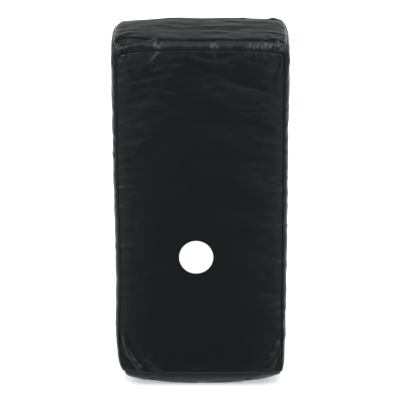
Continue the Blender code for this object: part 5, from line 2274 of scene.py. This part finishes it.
@dataclass(frozen=True)
class Studio:
    """The floor, the light and the camera; what the cover mirrors is set apart from what the camera sees."""

    elevation: float = 18.0
    distance: float = 5.5
    focal_pixels: float = 2670.0
    middle_row: float = 202.2
    middle_column: float = 200.3
    picture: int = 400
    sensor: float = 36.0
    floor_size: float = 60.0
    floor_colour: float = 0.90
    floor_lift: float = 0.40  # added for the camera alone, so that only the contact shadow shows
    key_strength: float = 1.15
    key_elevation: float = 77.0
    key_azimuth: float = -25.0
    key_angle: float = 80.0
    key_colour: Colour = (0.86, 0.96, 1.0)
    mirrored_floor: float = 0.185
    mirrored_far: float = 0.36
    mirrored_close: float = 0.055
    mirrored_top: float = -0.04
    mirrored_aside: float = 3.3
    mirrored_under: float = 0.85
    mirrored_flank: float = 3.4
    mirrored_far_flank: float = 1.2
    mirrored_behind: float = 0.14
    mirrored_beside: float = 0.58
    mirrored_before: float = 0.24
    white: ClassVar[Colour] = (1.0, 1.0, 1.0)

    def build(self) -> None:
        """Sets everything up."""
        self.lay_floor()
        self.light_world()
        self.hang_key()
        self.set_camera()
        bpy.context.scene.view_settings.view_transform = "Standard"

    def lay_floor(self) -> None:
        """Lays the pale floor."""
        half = self.floor_size / 2
        corners = np.array([(-half, -half, 0), (half, -half, 0), (half, half, 0), (-half, half, 0)], float)
        floor = mesh_object("studio_floor", corners, [(0, 1, 2, 3)])
        material = bpy.data.materials.new("studio_floor")
        material.use_nodes = True
        material.node_tree.nodes.clear()
        bench = NodeBench(material.node_tree)
        paper = bench.add("ShaderNodeBsdfDiffuse", {"Color": (self.floor_colour,) * 3})
        glow = bench.add("ShaderNodeEmission", {"Color": self.white, "Strength": self.floor_lift})
        lifted = bench.add("ShaderNodeAddShader", {0: paper, 1: glow})
        mirrored = self.mirrored_floor_glow(bench)
        bench.add("ShaderNodeOutputMaterial", {"Surface": bench.by_ray(mirrored, lifted, paper)})
        floor.data.materials.append(material)

    def mirrored_floor_glow(self, bench: NodeBench) -> Socket:
        """What glossy faces see of the floor, by how far it lies to the side and to the front, in metres.

        Args:
            bench: Where to add it.

        Returns:
            The shader.
        """
        across, onward, _ = bench.parts(bench.add("ShaderNodeNewGeometry", None, "Position"))
        out = bench.maths("ABSOLUTE", across)
        middle = bench.remap(out, 0.08, 0.17, self.mirrored_behind, self.mirrored_beside)
        behind = bench.maths("ADD", middle, bench.remap(out, 0.30, 0.90, 0.0, self.mirrored_beside))
        back = bench.remap(onward, -0.3, 0.5)
        far = bench.remap(onward, -2.6, -7.0, self.mirrored_floor, self.mirrored_far)
        close = bench.remap(onward, -1.3, -0.3, 0.0, self.mirrored_close)
        close = bench.maths("ADD", close, bench.remap(onward, -1.9, -2.3, 0.0, self.mirrored_top))
        aside = bench.remap(out, 0.10, 0.5, 1.0, self.mirrored_aside)
        near = bench.remap(onward, -0.17, -0.09, 0.0, self.mirrored_under)
        lit = bench.maths("MULTIPLY_ADD", bench.maths("ADD", far, close), aside, near)
        before = bench.maths("MULTIPLY", bench.maths("SUBTRACT", 1.0, back), lit)
        level = bench.maths("MULTIPLY_ADD", behind, back, before)
        front_tint = bench.mix_colour(bench.remap(onward, -1.3, -0.4), (0.82, 1.0, 0.97), (0.73, 0.95, 1.0))
        tint = bench.mix_colour(back, front_tint, (0.90, 1.0, 0.98))
        return bench.add("ShaderNodeEmission", {"Color": tint, "Strength": level})

    def light_world(self) -> None:
        """Sets the soft light all round, and what glossy faces mirror."""
        world = bpy.data.worlds.new("studio")
        bpy.context.scene.world = world
        world.use_nodes = True
        world.node_tree.nodes.clear()
        bench = NodeBench(world.node_tree)
        plain = bench.add("ShaderNodeBackground", {"Color": (1.0, 0.99, 0.98), "Strength": 1.1})
        white = bench.add("ShaderNodeBackground", {"Color": self.white, "Strength": 1.0})
        seen = bench.by_ray(self.mirrored_sky(bench), white, plain)
        out = bench.add("ShaderNodeOutputWorld", {"Surface": seen})
        out.node.is_active_output = True

    def mirrored_sky(self, bench: NodeBench) -> Socket:
        """What glossy faces see all round: bright flanks in front, and a bright horizon behind.

        Args:
            bench: Where to add it.

        Returns:
            The shader.
        """
        right, back, up = bench.parts(bench.add("ShaderNodeTexCoord", None, "Generated"))

        def by_height(low: float, high: float, new_low: float = 0.0, new_high: float = 1.0) -> Socket:
            """A change from one number to another between two heights, in degrees over the horizon."""
            low, high = math.sin(math.radians(low)), math.sin(math.radians(high))
            return bench.remap(up, low, high, new_low, new_high)

        aside = bench.maths("ABSOLUTE", right)
        fading = bench.remap(aside, 0.75, 0.95, 1.0, 0.35)
        flanks = bench.maths("MULTIPLY", bench.remap(aside, 0.10, 0.50), fading)
        lifted = by_height(0, 25, 0.25, self.mirrored_flank)
        before = bench.maths("MULTIPLY_ADD", flanks, lifted, self.mirrored_before)
        far_flanks = bench.maths("MULTIPLY", flanks, by_height(40, 20))
        far_flanks = bench.maths("MULTIPLY", far_flanks, self.mirrored_far_flank)
        sideways = bench.remap(right, -0.4, 0.6, 0.85, 1.25)
        horizon = bench.maths("MULTIPLY_ADD", by_height(18, 44, 0.44, 0.03), sideways, far_flanks)
        turned = bench.remap(back, -0.05, 0.25)
        behind = bench.maths("MULTIPLY", horizon, turned)
        level = bench.maths("MULTIPLY_ADD", before, bench.maths("SUBTRACT", 1.0, turned), behind)
        tint = bench.mix_colour(turned, (0.80, 0.95, 1.0), (0.90, 0.99, 0.98))
        return bench.add("ShaderNodeBackground", {"Color": tint, "Strength": level})

    def hang_key(self) -> None:
        """Hangs the broad soft key light, in front and above."""
        lamp = bpy.data.lights.new("key", "SUN")
        lamp.energy, lamp.angle = self.key_strength, math.radians(self.key_angle)
        lamp.color = self.key_colour
        hung = bpy.data.objects.new("key", lamp)
        bpy.context.scene.collection.objects.link(hung)
        lift, turn = math.radians(self.key_elevation), math.radians(self.key_azimuth)
        toward = Vector((math.sin(turn) * math.cos(lift), -math.cos(turn) * math.cos(lift), math.sin(lift)))
        hung.rotation_euler = toward.to_track_quat("Z", "Y").to_euler()
        hung.location = toward * 4

    def set_camera(self) -> None:
        """Sets the camera at the photograph's angle."""
        data = bpy.data.cameras.new("camera")
        data.sensor_width = self.sensor
        data.lens = self.focal_pixels / self.picture * self.sensor
        data.shift_x = -(self.middle_column - self.picture / 2) / self.picture
        data.shift_y = (self.middle_row - self.picture / 2) / self.picture
        data.clip_start, data.clip_end = 0.1, 200.0
        camera = bpy.data.objects.new("camera", data)
        bpy.context.scene.collection.objects.link(camera)
        lift = math.radians(self.elevation)
        toward = Vector((0.0, -math.cos(lift), math.sin(lift)))
        camera.location = Vector((0.0, 0.0, ShieldForm().middle_z)) + toward * self.distance
        camera.rotation_euler = toward.to_track_quat("Z", "Y").to_euler()
        bpy.context.scene.camera = camera


def main() -> None:
    """Builds every piece and the studio round them."""
    logging.basicConfig(level=logging.INFO, format="%(name)s: %(message)s")
    form = ShieldForm()
    surface = CoverSurface(form, VentLayout(form).places())
    Tailoring(surface).build()
    CoverSettling(form).build(surface)
    shelf = FinishShelf()
    for maker in (CoverMaker, PipingMaker, DiscMaker, VentMaker, FoamMaker):
        maker(surface, shelf).build()
    HandleMaker(form, shelf, StitchTool(shelf)).build()
    ZipMaker(form, shelf).build()
    Studio().build()


if __name__ == "__main__":
    main()
